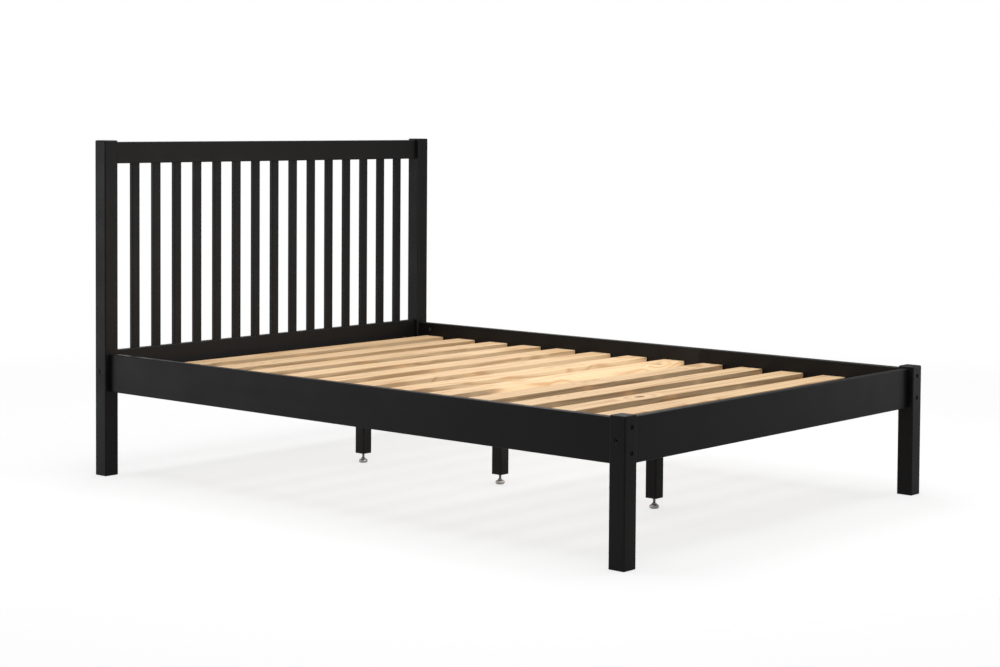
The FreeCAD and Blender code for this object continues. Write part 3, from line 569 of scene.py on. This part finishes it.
# Shares of the named clearances and sizes of the hardware
FINE_FLARE_SHARE = 0.5
NUT_PLAY_SHARE = 1 / 3
SOCKET_PLAY_SHARE = 0.2
STUD_SLACK_SHARE = 0.1
COLLAR_PLAY_SHARE = 0.6
SCREW_TIP_HEADS = 2
SCREW_TIP_SHARE = 0.12
CROSS_LENGTH_SHARE = 0.6
CROSS_WIDTH_SHARE = 0.14
CROSS_DEPTH_SHARE = 0.5
THREAD_DEPTH_SHARE = 0.5
THREAD_CREST_SHARE = 0.2
THREAD_SLACK_SHARE = 0.1

# Radians from the cross of one screw to that of the next
CROSS_TWIST = 37

# The levelling pads: shares of a pad's height and radius, and the steps of its outline
PAD_BELLY_SHARE = 0.48
PAD_ROLL_SHARE = 0.5
PAD_SOCKET_SHARE = 0.42
PAD_TUCK = math.radians(60)
PAD_RIM_STEPS = 5
PAD_DOME_STEPS = 7

# The webbing: cuts between two slats and the sharpness of its sag
SAG_STEPS = 12
SAG_POWER = 1.5


def select(piece, *others):
    """Selects only these objects and makes the first one active."""
    bpy.ops.object.select_all(action="DESELECT")
    for part in (piece, *others):
        part.select_set(True)
    bpy.context.view_layer.objects.active = piece


def enter_edit():
    """Goes into edit mode."""
    bpy.ops.object.mode_set(mode="EDIT")


def leave_edit():
    """Goes back to object mode."""
    bpy.ops.object.mode_set(mode="OBJECT")


def start(name):
    """Names the new primitive, which is the active object, and puts its place in its mesh."""
    piece = bpy.context.object
    piece.name = name
    piece.data.name = name
    bpy.ops.object.transform_apply(location=True, rotation=True, scale=True)
    return piece


def block(name, low, high):
    """A board between two corners."""
    bpy.ops.mesh.primitive_cube_add(size=1, location=(Vector(low) + Vector(high)) / 2)
    bpy.context.object.scale = Vector(high) - Vector(low)
    return start(name)


def bar(name, sides, radius, low, high, centre=(0, 0), turn=0):
    """A bar with a number of sides between two heights."""
    bpy.ops.mesh.primitive_cylinder_add(vertices=sides, radius=radius, depth=high - low,
                                        location=(*centre, (low + high) / 2), rotation=(0, 0, turn))
    return start(name)


def pick(piece, kind, wanted):
    """Goes into edit mode with only the faces or edges selected whose corners pass a test."""
    enter_edit()
    bpy.ops.mesh.select_mode(type=kind)
    bpy.ops.mesh.select_all(action="DESELECT")
    leave_edit()
    corners = piece.data.vertices
    parts = piece.data.edges if kind == "EDGE" else piece.data.polygons
    for part in parts:
        part.select = wanted([corners[i].co for i in part.vertices])
    enter_edit()


def round_edges(piece, wanted, radius, segments):
    """Rounds the edges that pass a test."""
    pick(piece, "EDGE", wanted)
    bpy.ops.mesh.bevel(offset=radius, offset_type="OFFSET", segments=segments, profile=0.5, affect="EDGES")
    leave_edit()


def raise_face(rise, reach=1):
    """Extrudes the selected face along Z in edit mode, and scales it about the Z axis."""
    bpy.ops.mesh.extrude_region_move(TRANSFORM_OT_translate={"value": (0, 0, rise)})
    bpy.ops.transform.resize(value=(reach, reach, 1), center_override=(0, 0, 0))


def unit(axis, heading=1):
    """A step of 1 along an axis, or back along it."""
    step = Vector((0, 0, 0))
    step[axis] = heading
    return step


def facing(direction):
    """The turn that takes +Z to a direction."""
    return unit(Z).rotation_difference(direction).to_matrix().to_4x4()


def side_of(low, high, axis):
    """The side of the bed's middle on which a box lies, as 1 or -1."""
    return 1 if low[axis] + high[axis] > 0 else -1


def face(low, high, axis, side):
    """Where the face of a box lies on one side of an axis."""
    return high[axis] if side > 0 else low[axis]


def at_level(axis, *levels):
    """A test for parts that lie flat at one of the levels along an axis."""
    return lambda points: any(all(abs(p[axis] - level) < LEVEL_SLACK for p in points) for level in levels)


def along(axis):
    """A test for edges that run along an axis."""
    return lambda points: (points[0] - points[1]).length - abs(points[0][axis] - points[1][axis]) < WELD


def apply_modifier(piece, kind, **settings):
    """Adds a modifier and applies it."""
    modifier = piece.modifiers.new(kind, kind)
    for key, value in settings.items():
        setattr(modifier, key, value)
    select(piece)
    bpy.ops.object.modifier_apply(modifier=modifier.name)


def carve(piece, cutters):
    """Cuts other objects out of a piece and removes them."""
    for cutter in cutters:
        apply_modifier(piece, "BOOLEAN", operation="DIFFERENCE", object=cutter, solver="EXACT")
        bpy.data.objects.remove(cutter)


def finish_form(piece, place):
    """Turns all faces outward, leaves edit mode and puts the mesh in its place."""
    bpy.ops.mesh.select_all(action="SELECT")
    bpy.ops.mesh.normals_make_consistent(inside=False)
    leave_edit()
    piece.data.transform(place)


def well_cutter(mouth, inward, radius, depth, flare, sides=ROUND_SIDES):
    """A round cutter that enters at a point of a face, with a flared mouth."""
    mouth_radius = radius + 2 * flare
    bpy.ops.mesh.primitive_circle_add(vertices=sides, radius=mouth_radius, fill_type="NGON",
                                      location=(0, 0, -flare))
    cutter = start("cutter")
    enter_edit()
    raise_face(2 * flare, radius / mouth_radius)
    raise_face(depth - flare)
    finish_form(cutter, Matrix.Translation(mouth) @ facing(inward))
    return cutter


def islands(node):
    """The box of each separate solid in a frame's node, as pairs of corners."""
    shape = bmesh.new()
    shape.from_mesh(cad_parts[node].data)
    bmesh.ops.remove_doubles(shape, verts=shape.verts, dist=WELD)
    left = set(shape.verts)
    boxes = []
    while left:
        group = set()
        fringe = {left.pop()}
        while fringe:
            group |= fringe
            fringe = {e.other_vert(v) for v in fringe for e in v.link_edges} - group
        left -= group
        points = [v.co for v in group]
        boxes.append((Vector(map(min, zip(*points))), Vector(map(max, zip(*points)))))
    shape.free()
    return sorted(boxes, key=lambda box: tuple(round(part, SORT_DIGITS) for part in box[0]))


def inside(point, low, high):
    """Whether a point lies in a box."""
    return all(a - BOX_SLACK <= p <= b + BOX_SLACK for p, a, b in zip(point, low, high))


def number_board(piece, number):
    """Marks a board, so that its grain comes from its own log."""
    mark = piece.data.attributes.new("board_number", "FLOAT", "POINT")
    mark.data.foreach_set("value", [float(number)] * len(piece.data.vertices))


def finish_piece(piece, finish, slot, body, *nodes, smooth=SMOOTH_ANGLE):
    """Shades a finished piece, gives it its material and lets it stand for its nodes."""
    select(piece)
    bpy.ops.object.shade_smooth_by_angle(angle=math.radians(smooth))
    apply_modifier(piece, "WEIGHTED_NORMAL", keep_sharp=True)
    piece.data.materials.clear()
    piece.data.materials.append(finish)
    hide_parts(*nodes)
    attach(piece, body)


def copies(master, name, places):
    """Copies of one object at several placements, joined into one piece. The master goes."""
    parts = []
    for place in places:
        part = master.copy()
        part.data = master.data.copy()
        part.data.transform(place)
        bpy.context.collection.objects.link(part)
        parts.append(part)
    bpy.data.objects.remove(master)
    select(*parts)
    bpy.ops.object.join()
    return start(name)


def fixing_place(low, high, axis, heading):
    """Where a fixing made along +Z goes, so that it fills a box and runs one way from its head."""
    head = (low + high) / 2
    head[axis] = face(low, high, axis, -heading)
    return Matrix.Translation(head) @ facing(unit(axis, heading))


def long_axis(low, high):
    """The axis along which a box is longest."""
    size = high - low
    return max(range(3), key=lambda i: size[i])


def timber(name, radius, round_ends=()):
    """A square-cut board over a node's box, with its long edges rounded and its ends eased."""
    shapes = bpy.context.scene.bed_shapes
    low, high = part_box(name)
    axis = long_axis(low, high)
    board = block(name + "_board", low, high)
    ends = {"low": low[axis], "high": high[axis]}
    full = at_level(axis, *(ends[end] for end in round_ends))
    straight = along(axis)
    round_edges(board, lambda points: straight(points) or full(points), radius, shapes.segments)
    plain = [ends[end] for end in ends if end not in round_ends]
    round_edges(board, at_level(axis, *plain), shapes.arris, segments=1)
    return board


def recess_cutters(low, high):
    """Cutters for the bolt recesses in a post."""
    shapes = bpy.context.scene.bed_shapes
    cutters = []
    for bolt_low, bolt_high in islands("rail_bolts"):
        axis = long_axis(bolt_low, bolt_high)
        outward = side_of(bolt_low, bolt_high, axis)
        head = (bolt_low + bolt_high) / 2
        head[axis] = face(bolt_low, bolt_high, axis, outward)
        if not inside(head, low, high):
            continue
        mouth = head.copy()
        mouth[axis] = face(low, high, axis, outward)
        radius = min(bolt_high - bolt_low) / 2 + shapes.recess_gap
        depth = abs(mouth[axis] - head[axis]) + shapes.bolt_head
        cutters.append(well_cutter(mouth, unit(axis, -outward), radius, depth, shapes.recess_flare))
    return cutters


class BED_OT_posts(bpy.types.Operator):
    """Four square posts with bolt recesses"""

    bl_idname = "bed.posts"
    bl_label = "Posts"

    def execute(self, context):
        shapes = context.scene.bed_shapes
        for name in POSTS:
            low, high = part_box(name)
            post = timber(name, shapes.post_round, ("high",))
            carve(post, recess_cutters(low, high))
            finish_piece(post, material(black_paint, "z"), "black_paint", "root", name)
        return {"FINISHED"}


def nut_cutters(low, high):
    """Cutters for the barrel nut holes, which open on the inner faces of the rails."""
    shapes = bpy.context.scene.bed_shapes
    thin = min(range(3), key=lambda i: (high - low)[i])
    outward = side_of(low, high, thin)
    inner = face(low, high, thin, -outward)
    flare = shapes.recess_flare * FINE_FLARE_SHARE
    cutters = []
    for nut_low, nut_high in islands("barrel_nuts"):
        middle = (nut_low + nut_high) / 2
        if not inside(middle, low, high):
            continue
        sizes = nut_high - nut_low
        width = max(size for i, size in enumerate(sizes) if i != thin)
        radius = width / 2 + shapes.recess_gap * NUT_PLAY_SHARE
        far = face(nut_low, nut_high, thin, outward)
        depth = abs(far - inner) + shapes.recess_gap
        mouth = middle.copy()
        mouth[thin] = inner
        cutters.append(well_cutter(mouth, unit(thin, outward), radius, depth, flare))
    return cutters


def mortise_cutters():
    """Cutters for the mortises of the headboard slats."""
    shapes = bpy.context.scene.bed_shapes
    step = Vector((shapes.tenon_shoulder, shapes.tenon_shoulder, 0))
    cutters = []
    for slat in nodes_called("headboard_slat"):
        low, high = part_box(slat)
        cutters.append(block("cutter", low + step, high - step))
    return cutters


class BED_OT_rails(bpy.types.Operator):
    """Headboard rails, foot rail and side rails"""

    bl_idname = "bed.rails"
    bl_label = "Rails"

    def execute(self, context):
        shapes = context.scene.bed_shapes
        for name in CROSS_RAILS + SIDE_RAILS:
            low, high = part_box(name)
            rail = timber(name, shapes.rail_round)
            carve(rail, nut_cutters(low, high))
            if name.startswith("headboard"):
                carve(rail, mortise_cutters())
            grain = "y" if name in SIDE_RAILS else "x"
            finish_piece(rail, material(black_paint, grain), "black_paint", "root", name)
        return {"FINISHED"}


class BED_OT_uprights(bpy.types.Operator):
    """Upright slats of the headboard, tenoned at both ends"""

    bl_idname = "bed.uprights"
    bl_label = "Headboard slats"

    def execute(self, context):
        shapes = context.scene.bed_shapes
        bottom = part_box("headboard_bottom_rail")[1].z
        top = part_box("headboard_top_rail")[0].z
        for name in nodes_called("headboard_slat"):
            low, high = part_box(name)
            slat = block(name + "_board", (low.x, low.y, bottom), (high.x, high.y, top))
            round_edges(slat, along(Z), shapes.slat_round, shapes.segments)
            for level, end in ((bottom, low.z), (top, high.z)):
                pick(slat, "FACE", at_level(Z, level))
                bpy.ops.mesh.inset(thickness=shapes.tenon_shoulder)
                raise_face(end - level)
                leave_edit()
            finish_piece(slat, material(black_paint, "z"), "black_paint", "root", name)
        return {"FINISHED"}


class BED_OT_centre_legs(bpy.types.Operator):
    """Three legs under the centre rail"""

    bl_idname = "bed.centre_legs"
    bl_label = "Centre legs"

    def execute(self, context):
        shapes = context.scene.bed_shapes
        for end in LEG_NAMES:
            name = "centre_leg_" + end
            low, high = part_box(name)
            leg = timber(name, shapes.post_round)
            mouth = Vector(((low.x + high.x) / 2, (low.y + high.y) / 2, low.z))
            insert = next(box for box in islands("threaded_inserts") if inside(box[0], low, high))
            radius = (insert[1].x - insert[0].x) / 2
            depth = insert[1].z - insert[0].z
            flare = shapes.recess_flare * FINE_FLARE_SHARE
            carve(leg, [well_cutter(mouth, unit(Z), radius, depth, flare)])
            finish_piece(leg, material(black_paint, "z"), "black_paint", "root", name)
        return {"FINISHED"}


class BED_OT_base_slats(bpy.types.Operator):
    """Pine slats across the bed, each screwed down at both ends"""

    bl_idname = "bed.base_slats"
    bl_label = "Base slats"

    def execute(self, context):
        shapes = context.scene.bed_shapes
        screws = islands("wood_screws")
        flare = shapes.recess_flare * FINE_FLARE_SHARE
        for number, name in enumerate(nodes_called("base_slat"), start=1):
            low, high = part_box(name)
            slat = timber(name, shapes.slat_round)
            cutters = []
            for screw_low, screw_high in screws:
                mouth = (screw_low + screw_high) / 2
                mouth.z = high.z
                if inside(Vector((mouth.x, mouth.y, low.z)), low, high) and screw_high.z > low.z:
                    radius = (screw_high.x - screw_low.x) / 2
                    depth = high.z - screw_high.z + shapes.screw_head
                    cutters.append(well_cutter(mouth, unit(Z, -1), radius, depth, flare, SCREW_SIDES))
            carve(slat, cutters)
            number_board(slat, number)
            finish_piece(slat, material(bare_pine, "x"), "pine", "root", name)
        return {"FINISHED"}


class BED_OT_bearers(bpy.types.Operator):
    """Battens inside the side rails, and the centre rail"""

    bl_idname = "bed.bearers"
    bl_label = "Bearers"

    def execute(self, context):
        shapes = context.scene.bed_shapes
        count = len(nodes_called("base_slat"))
        for number, name in enumerate(("ledger_left", "ledger_right", "centre_rail"), start=count + 1):
            bearer = timber(name, shapes.slat_round)
            number_board(bearer, number)
            finish_piece(bearer, material(bare_pine, "y"), "pine", "root", name)
        return {"FINISHED"}


class BED_OT_webbing(bpy.types.Operator):
    """Two woven tapes that join the base slats"""

    bl_idname = "bed.webbing"
    bl_label = "Webbing"

    def execute(self, context):
        shapes = context.scene.bed_shapes
        slats = [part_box(name) for name in nodes_called("base_slat")]
        middles = sorted((low.y + high.y) / 2 for low, high in slats)
        pitch = middles[1] - middles[0]
        for side, (low, high) in zip(("left", "right"), islands(SLAT_TAPE)):
            tape = block("webbing_" + side, low, high)
            pick(tape, "EDGE", along(Y))
            bpy.ops.mesh.subdivide(number_cuts=SAG_STEPS * (len(middles) - 1) - 1)
            leave_edit()
            for vertex in tape.data.vertices:
                phase = (vertex.co.y - middles[0]) / pitch * math.pi
                sag = math.sin(phase) ** 2 if middles[0] < vertex.co.y < middles[-1] else 0
                vertex.co.z -= shapes.tape_sag * sag ** SAG_POWER
            finish_piece(tape, material(webbing), "webbing", "root", SLAT_TAPE)
        return {"FINISHED"}


def bolt_master():
    """A socket head bolt along +Z from the top of its head."""
    shapes = bpy.context.scene.bed_shapes
    low, high = islands("rail_bolts")[0]
    length = max(high - low)
    radius = min(high - low) / 2
    bolt = bar("bolt", ROUND_SIDES, radius, 0, shapes.bolt_head)
    pick(bolt, "FACE", at_level(Z, shapes.bolt_head))
    bpy.ops.mesh.inset(thickness=radius - shapes.shank_radius)
    raise_face(length - shapes.bolt_head)
    leave_edit()
    round_edges(bolt, at_level(Z, 0), shapes.recess_flare, segments=2)
    depth = shapes.socket_depth
    carve(bolt, [bar("cutter", HEXAGON_SIDES, shapes.socket_radius, -depth, depth)])
    return bolt


class BED_OT_bolts(bpy.types.Operator):
    """Socket head bolts through the posts"""

    bl_idname = "bed.bolts"
    bl_label = "Rail bolts"

    def execute(self, context):
        places = []
        for low, high in islands("rail_bolts"):
            axis = long_axis(low, high)
            places.append(fixing_place(low, high, axis, -side_of(low, high, axis)))
        bolts = copies(bolt_master(), "rail_bolts_black", places)
        finish_piece(bolts, material(metal, "black_oxide"), "black_steel", "root", "rail_bolts")
        return {"FINISHED"}


def screw_master():
    """A countersunk wood screw along +Z from the top of its head, with a cross recess."""
    shapes = bpy.context.scene.bed_shapes
    low, high = islands("wood_screws")[0]
    length = max(high - low)
    radius = min(high - low) / 2
    bpy.ops.mesh.primitive_cone_add(vertices=SCREW_SIDES, radius1=radius, radius2=shapes.screw_radius,
                                    depth=shapes.screw_head, location=(0, 0, shapes.screw_head / 2))
    screw = start("screw")
    pick(screw, "FACE", at_level(Z, shapes.screw_head))
    raise_face(length - (SCREW_TIP_HEADS + 1) * shapes.screw_head)
    raise_face(SCREW_TIP_HEADS * shapes.screw_head, SCREW_TIP_SHARE)
    leave_edit()
    arm = Vector((radius * CROSS_LENGTH_SHARE, radius * CROSS_WIDTH_SHARE,
                  shapes.screw_head * CROSS_DEPTH_SHARE))
    cutters = [block("cutter", -arm, arm)]
    arm.x, arm.y = arm.y, arm.x
    cutters.append(block("cutter", -arm, arm))
    carve(screw, cutters)
    return screw


class BED_OT_screws(bpy.types.Operator):
    """Countersunk screws of the base slats and battens"""

    bl_idname = "bed.screws"
    bl_label = "Wood screws"

    def execute(self, context):
        places = []
        for low, high in islands("wood_screws"):
            axis = long_axis(low, high)
            heading = -1 if axis == Z else side_of(low, high, axis)
            twist = Matrix.Rotation(CROSS_TWIST * len(places), 4, "Z")
            places.append(fixing_place(low, high, axis, heading) @ twist)
        screws = copies(screw_master(), "wood_screws_zinc", places)
        finish_piece(screws, material(metal, "zinc_plate"), "zinc_steel", "root", "wood_screws")
        return {"FINISHED"}


def thread(name, centre, bottom, top, radius, pitch):
    """A screw thread between two heights, closed at both ends."""
    depth = pitch * THREAD_DEPTH_SHARE
    root = radius - depth
    slack = pitch * THREAD_SLACK_SHARE
    turns = int((top - bottom) / pitch)
    bpy.ops.mesh.primitive_plane_add(size=pitch, location=(root - pitch / 2, 0, pitch / 2),
                                     rotation=(math.pi / 2, 0, 0))
    piece = start(name)
    # The outer edge of a square moves out to be the crest
    pick(piece, "EDGE", lambda points: all(p.x > root - slack for p in points))
    bpy.ops.mesh.extrude_region_move(TRANSFORM_OT_translate={"value": (depth, 0, 0)})
    bpy.ops.transform.resize(value=(1, 1, THREAD_CREST_SHARE), center_override=(0, 0, pitch / 2))
    leave_edit()
    # Only the outline from root to crest and back stays
    pick(piece, "EDGE", lambda points: all(p.x < root - slack for p in points))
    bpy.ops.mesh.delete(type="VERT")
    bpy.ops.mesh.select_all(action="SELECT")
    bpy.ops.mesh.delete(type="ONLY_FACE")
    leave_edit()
    pick(piece, "EDGE", lambda points: all(abs(p.x - root) < slack for p in points))
    bpy.ops.mesh.delete(type="EDGE")
    leave_edit()
    apply_modifier(piece, "SCREW", angle=math.tau, screw_offset=pitch, iterations=turns - 1,
                   steps=THREAD_STEPS, render_steps=THREAD_STEPS, use_merge_vertices=True,
                   merge_threshold=WELD)
    enter_edit()
    bpy.ops.mesh.select_all(action="SELECT")
    bpy.ops.mesh.remove_doubles(threshold=WELD)
    bpy.ops.mesh.select_all(action="DESELECT")
    bpy.ops.mesh.select_mode(type="EDGE")
    bpy.ops.mesh.select_non_manifold()
    bpy.ops.mesh.fill_holes(sides=0)
    bpy.ops.mesh.select_all(action="SELECT")
    bpy.ops.mesh.fill_holes(sides=0)
    finish_form(piece, Matrix.Translation((centre.x, centre.y, bottom)))
    return piece


class BED_OT_levelling_feet(bpy.types.Operator):
    """Round pads and threaded studs under the centre legs"""

    bl_idname = "bed.levelling_feet"
    bl_label = "Levelling feet"

    def execute(self, context):
        for end in LEG_NAMES:
            self.add_pad(end)
            self.add_stud(end)
        return {"FINISHED"}

    def add_pad(self, end):
        """A round pad: a rolled rim, a dome and a socket for the stud."""
        shapes = bpy.context.scene.bed_shapes
        node = "levelling_foot_" + end
        low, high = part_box(node)
        centre = (low + high) / 2
        reach = (high.x - low.x) / 2
        height = high.z - low.z
        neck = shapes.shank_radius + shapes.pad_lip
        socket = shapes.shank_radius + shapes.recess_gap * SOCKET_PLAY_SHARE
        belly = height * PAD_BELLY_SHARE
        roll = reach * PAD_ROLL_SHARE
        radius = reach - roll * (1 - math.cos(PAD_TUCK))
        level = 0
        bpy.ops.mesh.primitive_circle_add(vertices=PAD_SIDES, radius=radius, fill_type="NGON")
        pad = start("levelling_pad_" + end)
        rings = []
        for i in range(1, PAD_RIM_STEPS + 1):
            a = PAD_TUCK * (1 - i / PAD_RIM_STEPS)
            rise = belly * (1 - math.sin(a) / math.sin(PAD_TUCK))
            rings.append((reach - roll * (1 - math.cos(a)), rise))
        for i in range(1, PAD_DOME_STEPS + 1):
            a = i / PAD_DOME_STEPS * math.pi / 2
            rings.append((neck + (reach - neck) * math.cos(a), belly + (height - belly) * math.sin(a)))
        rings.append((socket, height))
        rings.append((socket, height * PAD_SOCKET_SHARE))
        enter_edit()
        for next_radius, next_level in rings:
            raise_face(next_level - level, next_radius / radius)
            radius = next_radius
            level = next_level
        finish_form(pad, Matrix.Translation((centre.x, centre.y, low.z)))
        finish_piece(pad, material(metal, "cast_metal"), "polished_metal", "foot_" + end, node)

    def add_stud(self, end):
        """A threaded stud with a spanner collar."""
        shapes = bpy.context.scene.bed_shapes
        node = "levelling_stud_" + end
        low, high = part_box(node)
        centre = (low + high) / 2
        pad_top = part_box("levelling_foot_" + end)[1].z
        radius = shapes.shank_radius - shapes.recess_gap * STUD_SLACK_SHARE
        collar_low = pad_top + shapes.recess_gap * COLLAR_PLAY_SHARE
        collar_high = collar_low + shapes.shank_radius
        name = "levelling_stud_thread_" + end
        stud = thread(name, centre, collar_high, high.z, radius, shapes.thread_pitch)
        collar = bar("collar", HEXAGON_SIDES, (high.x - low.x) / 2, collar_low, collar_high, centre.xy,
                     math.pi / HEXAGON_SIDES)
        round_edges(collar, at_level(Z, collar_low, collar_high), shapes.recess_flare, segments=2)
        spigot = bar("spigot", STUD_SIDES, radius, low.z, collar_low, centre.xy)
        select(stud, collar, spigot)
        bpy.ops.object.join()
        finish = material(metal, "zinc_plate")
        finish_piece(stud, finish, "zinc_steel", "stud_" + end, node, smooth=COLLAR_SMOOTH_ANGLE)


ZINC_FIXINGS = ("barrel_nuts", "hanger_screws", "threaded_inserts", "leg_hanger_bolts", "tape_tacks",
                "centre_hanger_head", "centre_hanger_foot")


class BED_OT_small_hardware(bpy.types.Operator):
    """Finishes for the fixings whose shape the frame already has"""

    bl_idname = "bed.small_hardware"
    bl_label = "Small hardware"

    def execute(self, context):
        finishes = dict.fromkeys(ZINC_FIXINGS, material(metal, "zinc_plate"))
        finishes["dowels"] = material(beech)
        for name, finish in finishes.items():
            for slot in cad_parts[name].material_slots:
                slot.material = finish
        return {"FINISHED"}


# The stage, in metres. A lamp has a name, the setting of its power, its place, what it faces and its size.

FLOOR_SIZE = 120
FAR_CLIP = 200
SOFTBOXES = (
    ("overhead_softbox", "overhead", (0, 0, 4.2), (0, 0, 0), (5.0, 5.0)),
    ("left_softbox", "left", (-4.1, 5.2, 0.6), (-0.7, 0.4, 0.4), (2.6, 2.6)),
    ("right_softbox", "right", (2.6, -1.9, 0.7), (0.7, -1, 0.4), (0.8, 1.2)),
    ("back_softbox", "behind", (4.0, 4.6, 1.6), (0, 0, 0.4), (4.0, 1.6)),
    ("bounce_card", "bounce", (0.35, -0.3, 0.55), (0.35, 1.0, 0.9), (1.2, 0.9)),
)


class BED_OT_stage(bpy.types.Operator):
    """Pale floor, soft studio light and the camera"""

    bl_idname = "bed.stage"
    bl_label = "Stage"

    def execute(self, context):
        look = context.scene.bed_stage
        bpy.ops.mesh.primitive_plane_add(size=FLOOR_SIZE, location=(0, 0, 0))
        floor = start("studio_floor")
        floor.data.materials.append(material(studio_floor))

        context.scene.world = white_room()
        for name, setting, place, target, size in SOFTBOXES:
            self.add_softbox(name, place, target, size, getattr(look, setting))
        bpy.data.objects["left_softbox"].data.color = look.left_colour
        self.add_camera(look)
        context.scene.view_settings.view_transform = "Standard"
        return {"FINISHED"}

    def add_softbox(self, name, place, target, size, power):
        """A rectangular lamp that faces a point."""
        bpy.ops.object.light_add(type="AREA", location=place)
        lamp = bpy.context.object
        lamp.name = name
        lamp.rotation_euler = (Vector(target) - Vector(place)).to_track_quat("-Z", "Y").to_euler()
        lamp.data.shape = "RECTANGLE"
        lamp.data.size, lamp.data.size_y = size
        lamp.data.energy = power
        lamp.visible_camera = False

    def add_camera(self, look):
        """The camera, with the photograph's place and field of view."""
        level = Euler((math.pi / 2 + look.pitch, 0, look.yaw)).to_matrix()
        bpy.ops.object.camera_add(location=look.eye)
        camera = bpy.context.object
        camera.name = "studio_camera"
        camera.rotation_euler = (level @ Matrix.Rotation(look.roll, 3, "Z")).to_euler()
        camera.data.lens = look.focal_pixels / look.picture_width * camera.data.sensor_width
        camera.data.shift_x = look.shift_right
        camera.data.shift_y = look.shift_up
        camera.data.clip_end = FAR_CLIP
        bpy.context.scene.camera = camera


PIECE_OPERATORS = (BED_OT_stage, BED_OT_posts, BED_OT_rails, BED_OT_uprights,
                   BED_OT_centre_legs, BED_OT_base_slats, BED_OT_bearers,
                   BED_OT_webbing, BED_OT_bolts, BED_OT_screws,
                   BED_OT_levelling_feet, BED_OT_small_hardware)


class VIEW3D_PT_bed_frame(bpy.types.Panel):
    """Lists the bed's pieces in the sidebar"""

    bl_label = "Bed Frame"
    bl_idname = "VIEW3D_PT_bed_frame"
    bl_space_type = "VIEW_3D"
    bl_region_type = "UI"
    bl_category = "Bed Frame"

    def draw(self, context):
        for operator in PIECE_OPERATORS:
            self.layout.operator(operator.bl_idname)


def register():
    """Registers the settings, the operators and the panel."""
    for look in LOOKS.values():
        bpy.utils.register_class(look)
    for name, look in LOOKS.items():
        setattr(bpy.types.Scene, name, PointerProperty(type=look))
    for operator in PIECE_OPERATORS:
        bpy.utils.register_class(operator)
    bpy.utils.register_class(VIEW3D_PT_bed_frame)


def unregister():
    """Takes everything back in reverse."""
    bpy.utils.unregister_class(VIEW3D_PT_bed_frame)
    for operator in reversed(PIECE_OPERATORS):
        bpy.utils.unregister_class(operator)
    for name, look in LOOKS.items():
        delattr(bpy.types.Scene, name)
        bpy.utils.unregister_class(look)


def main():
    """Makes every piece in order."""
    register()
    for operator in PIECE_OPERATORS:
        group, name = operator.bl_idname.split(".")
        getattr(getattr(bpy.ops, group), name)()


if __name__ == "__main__":
    main()
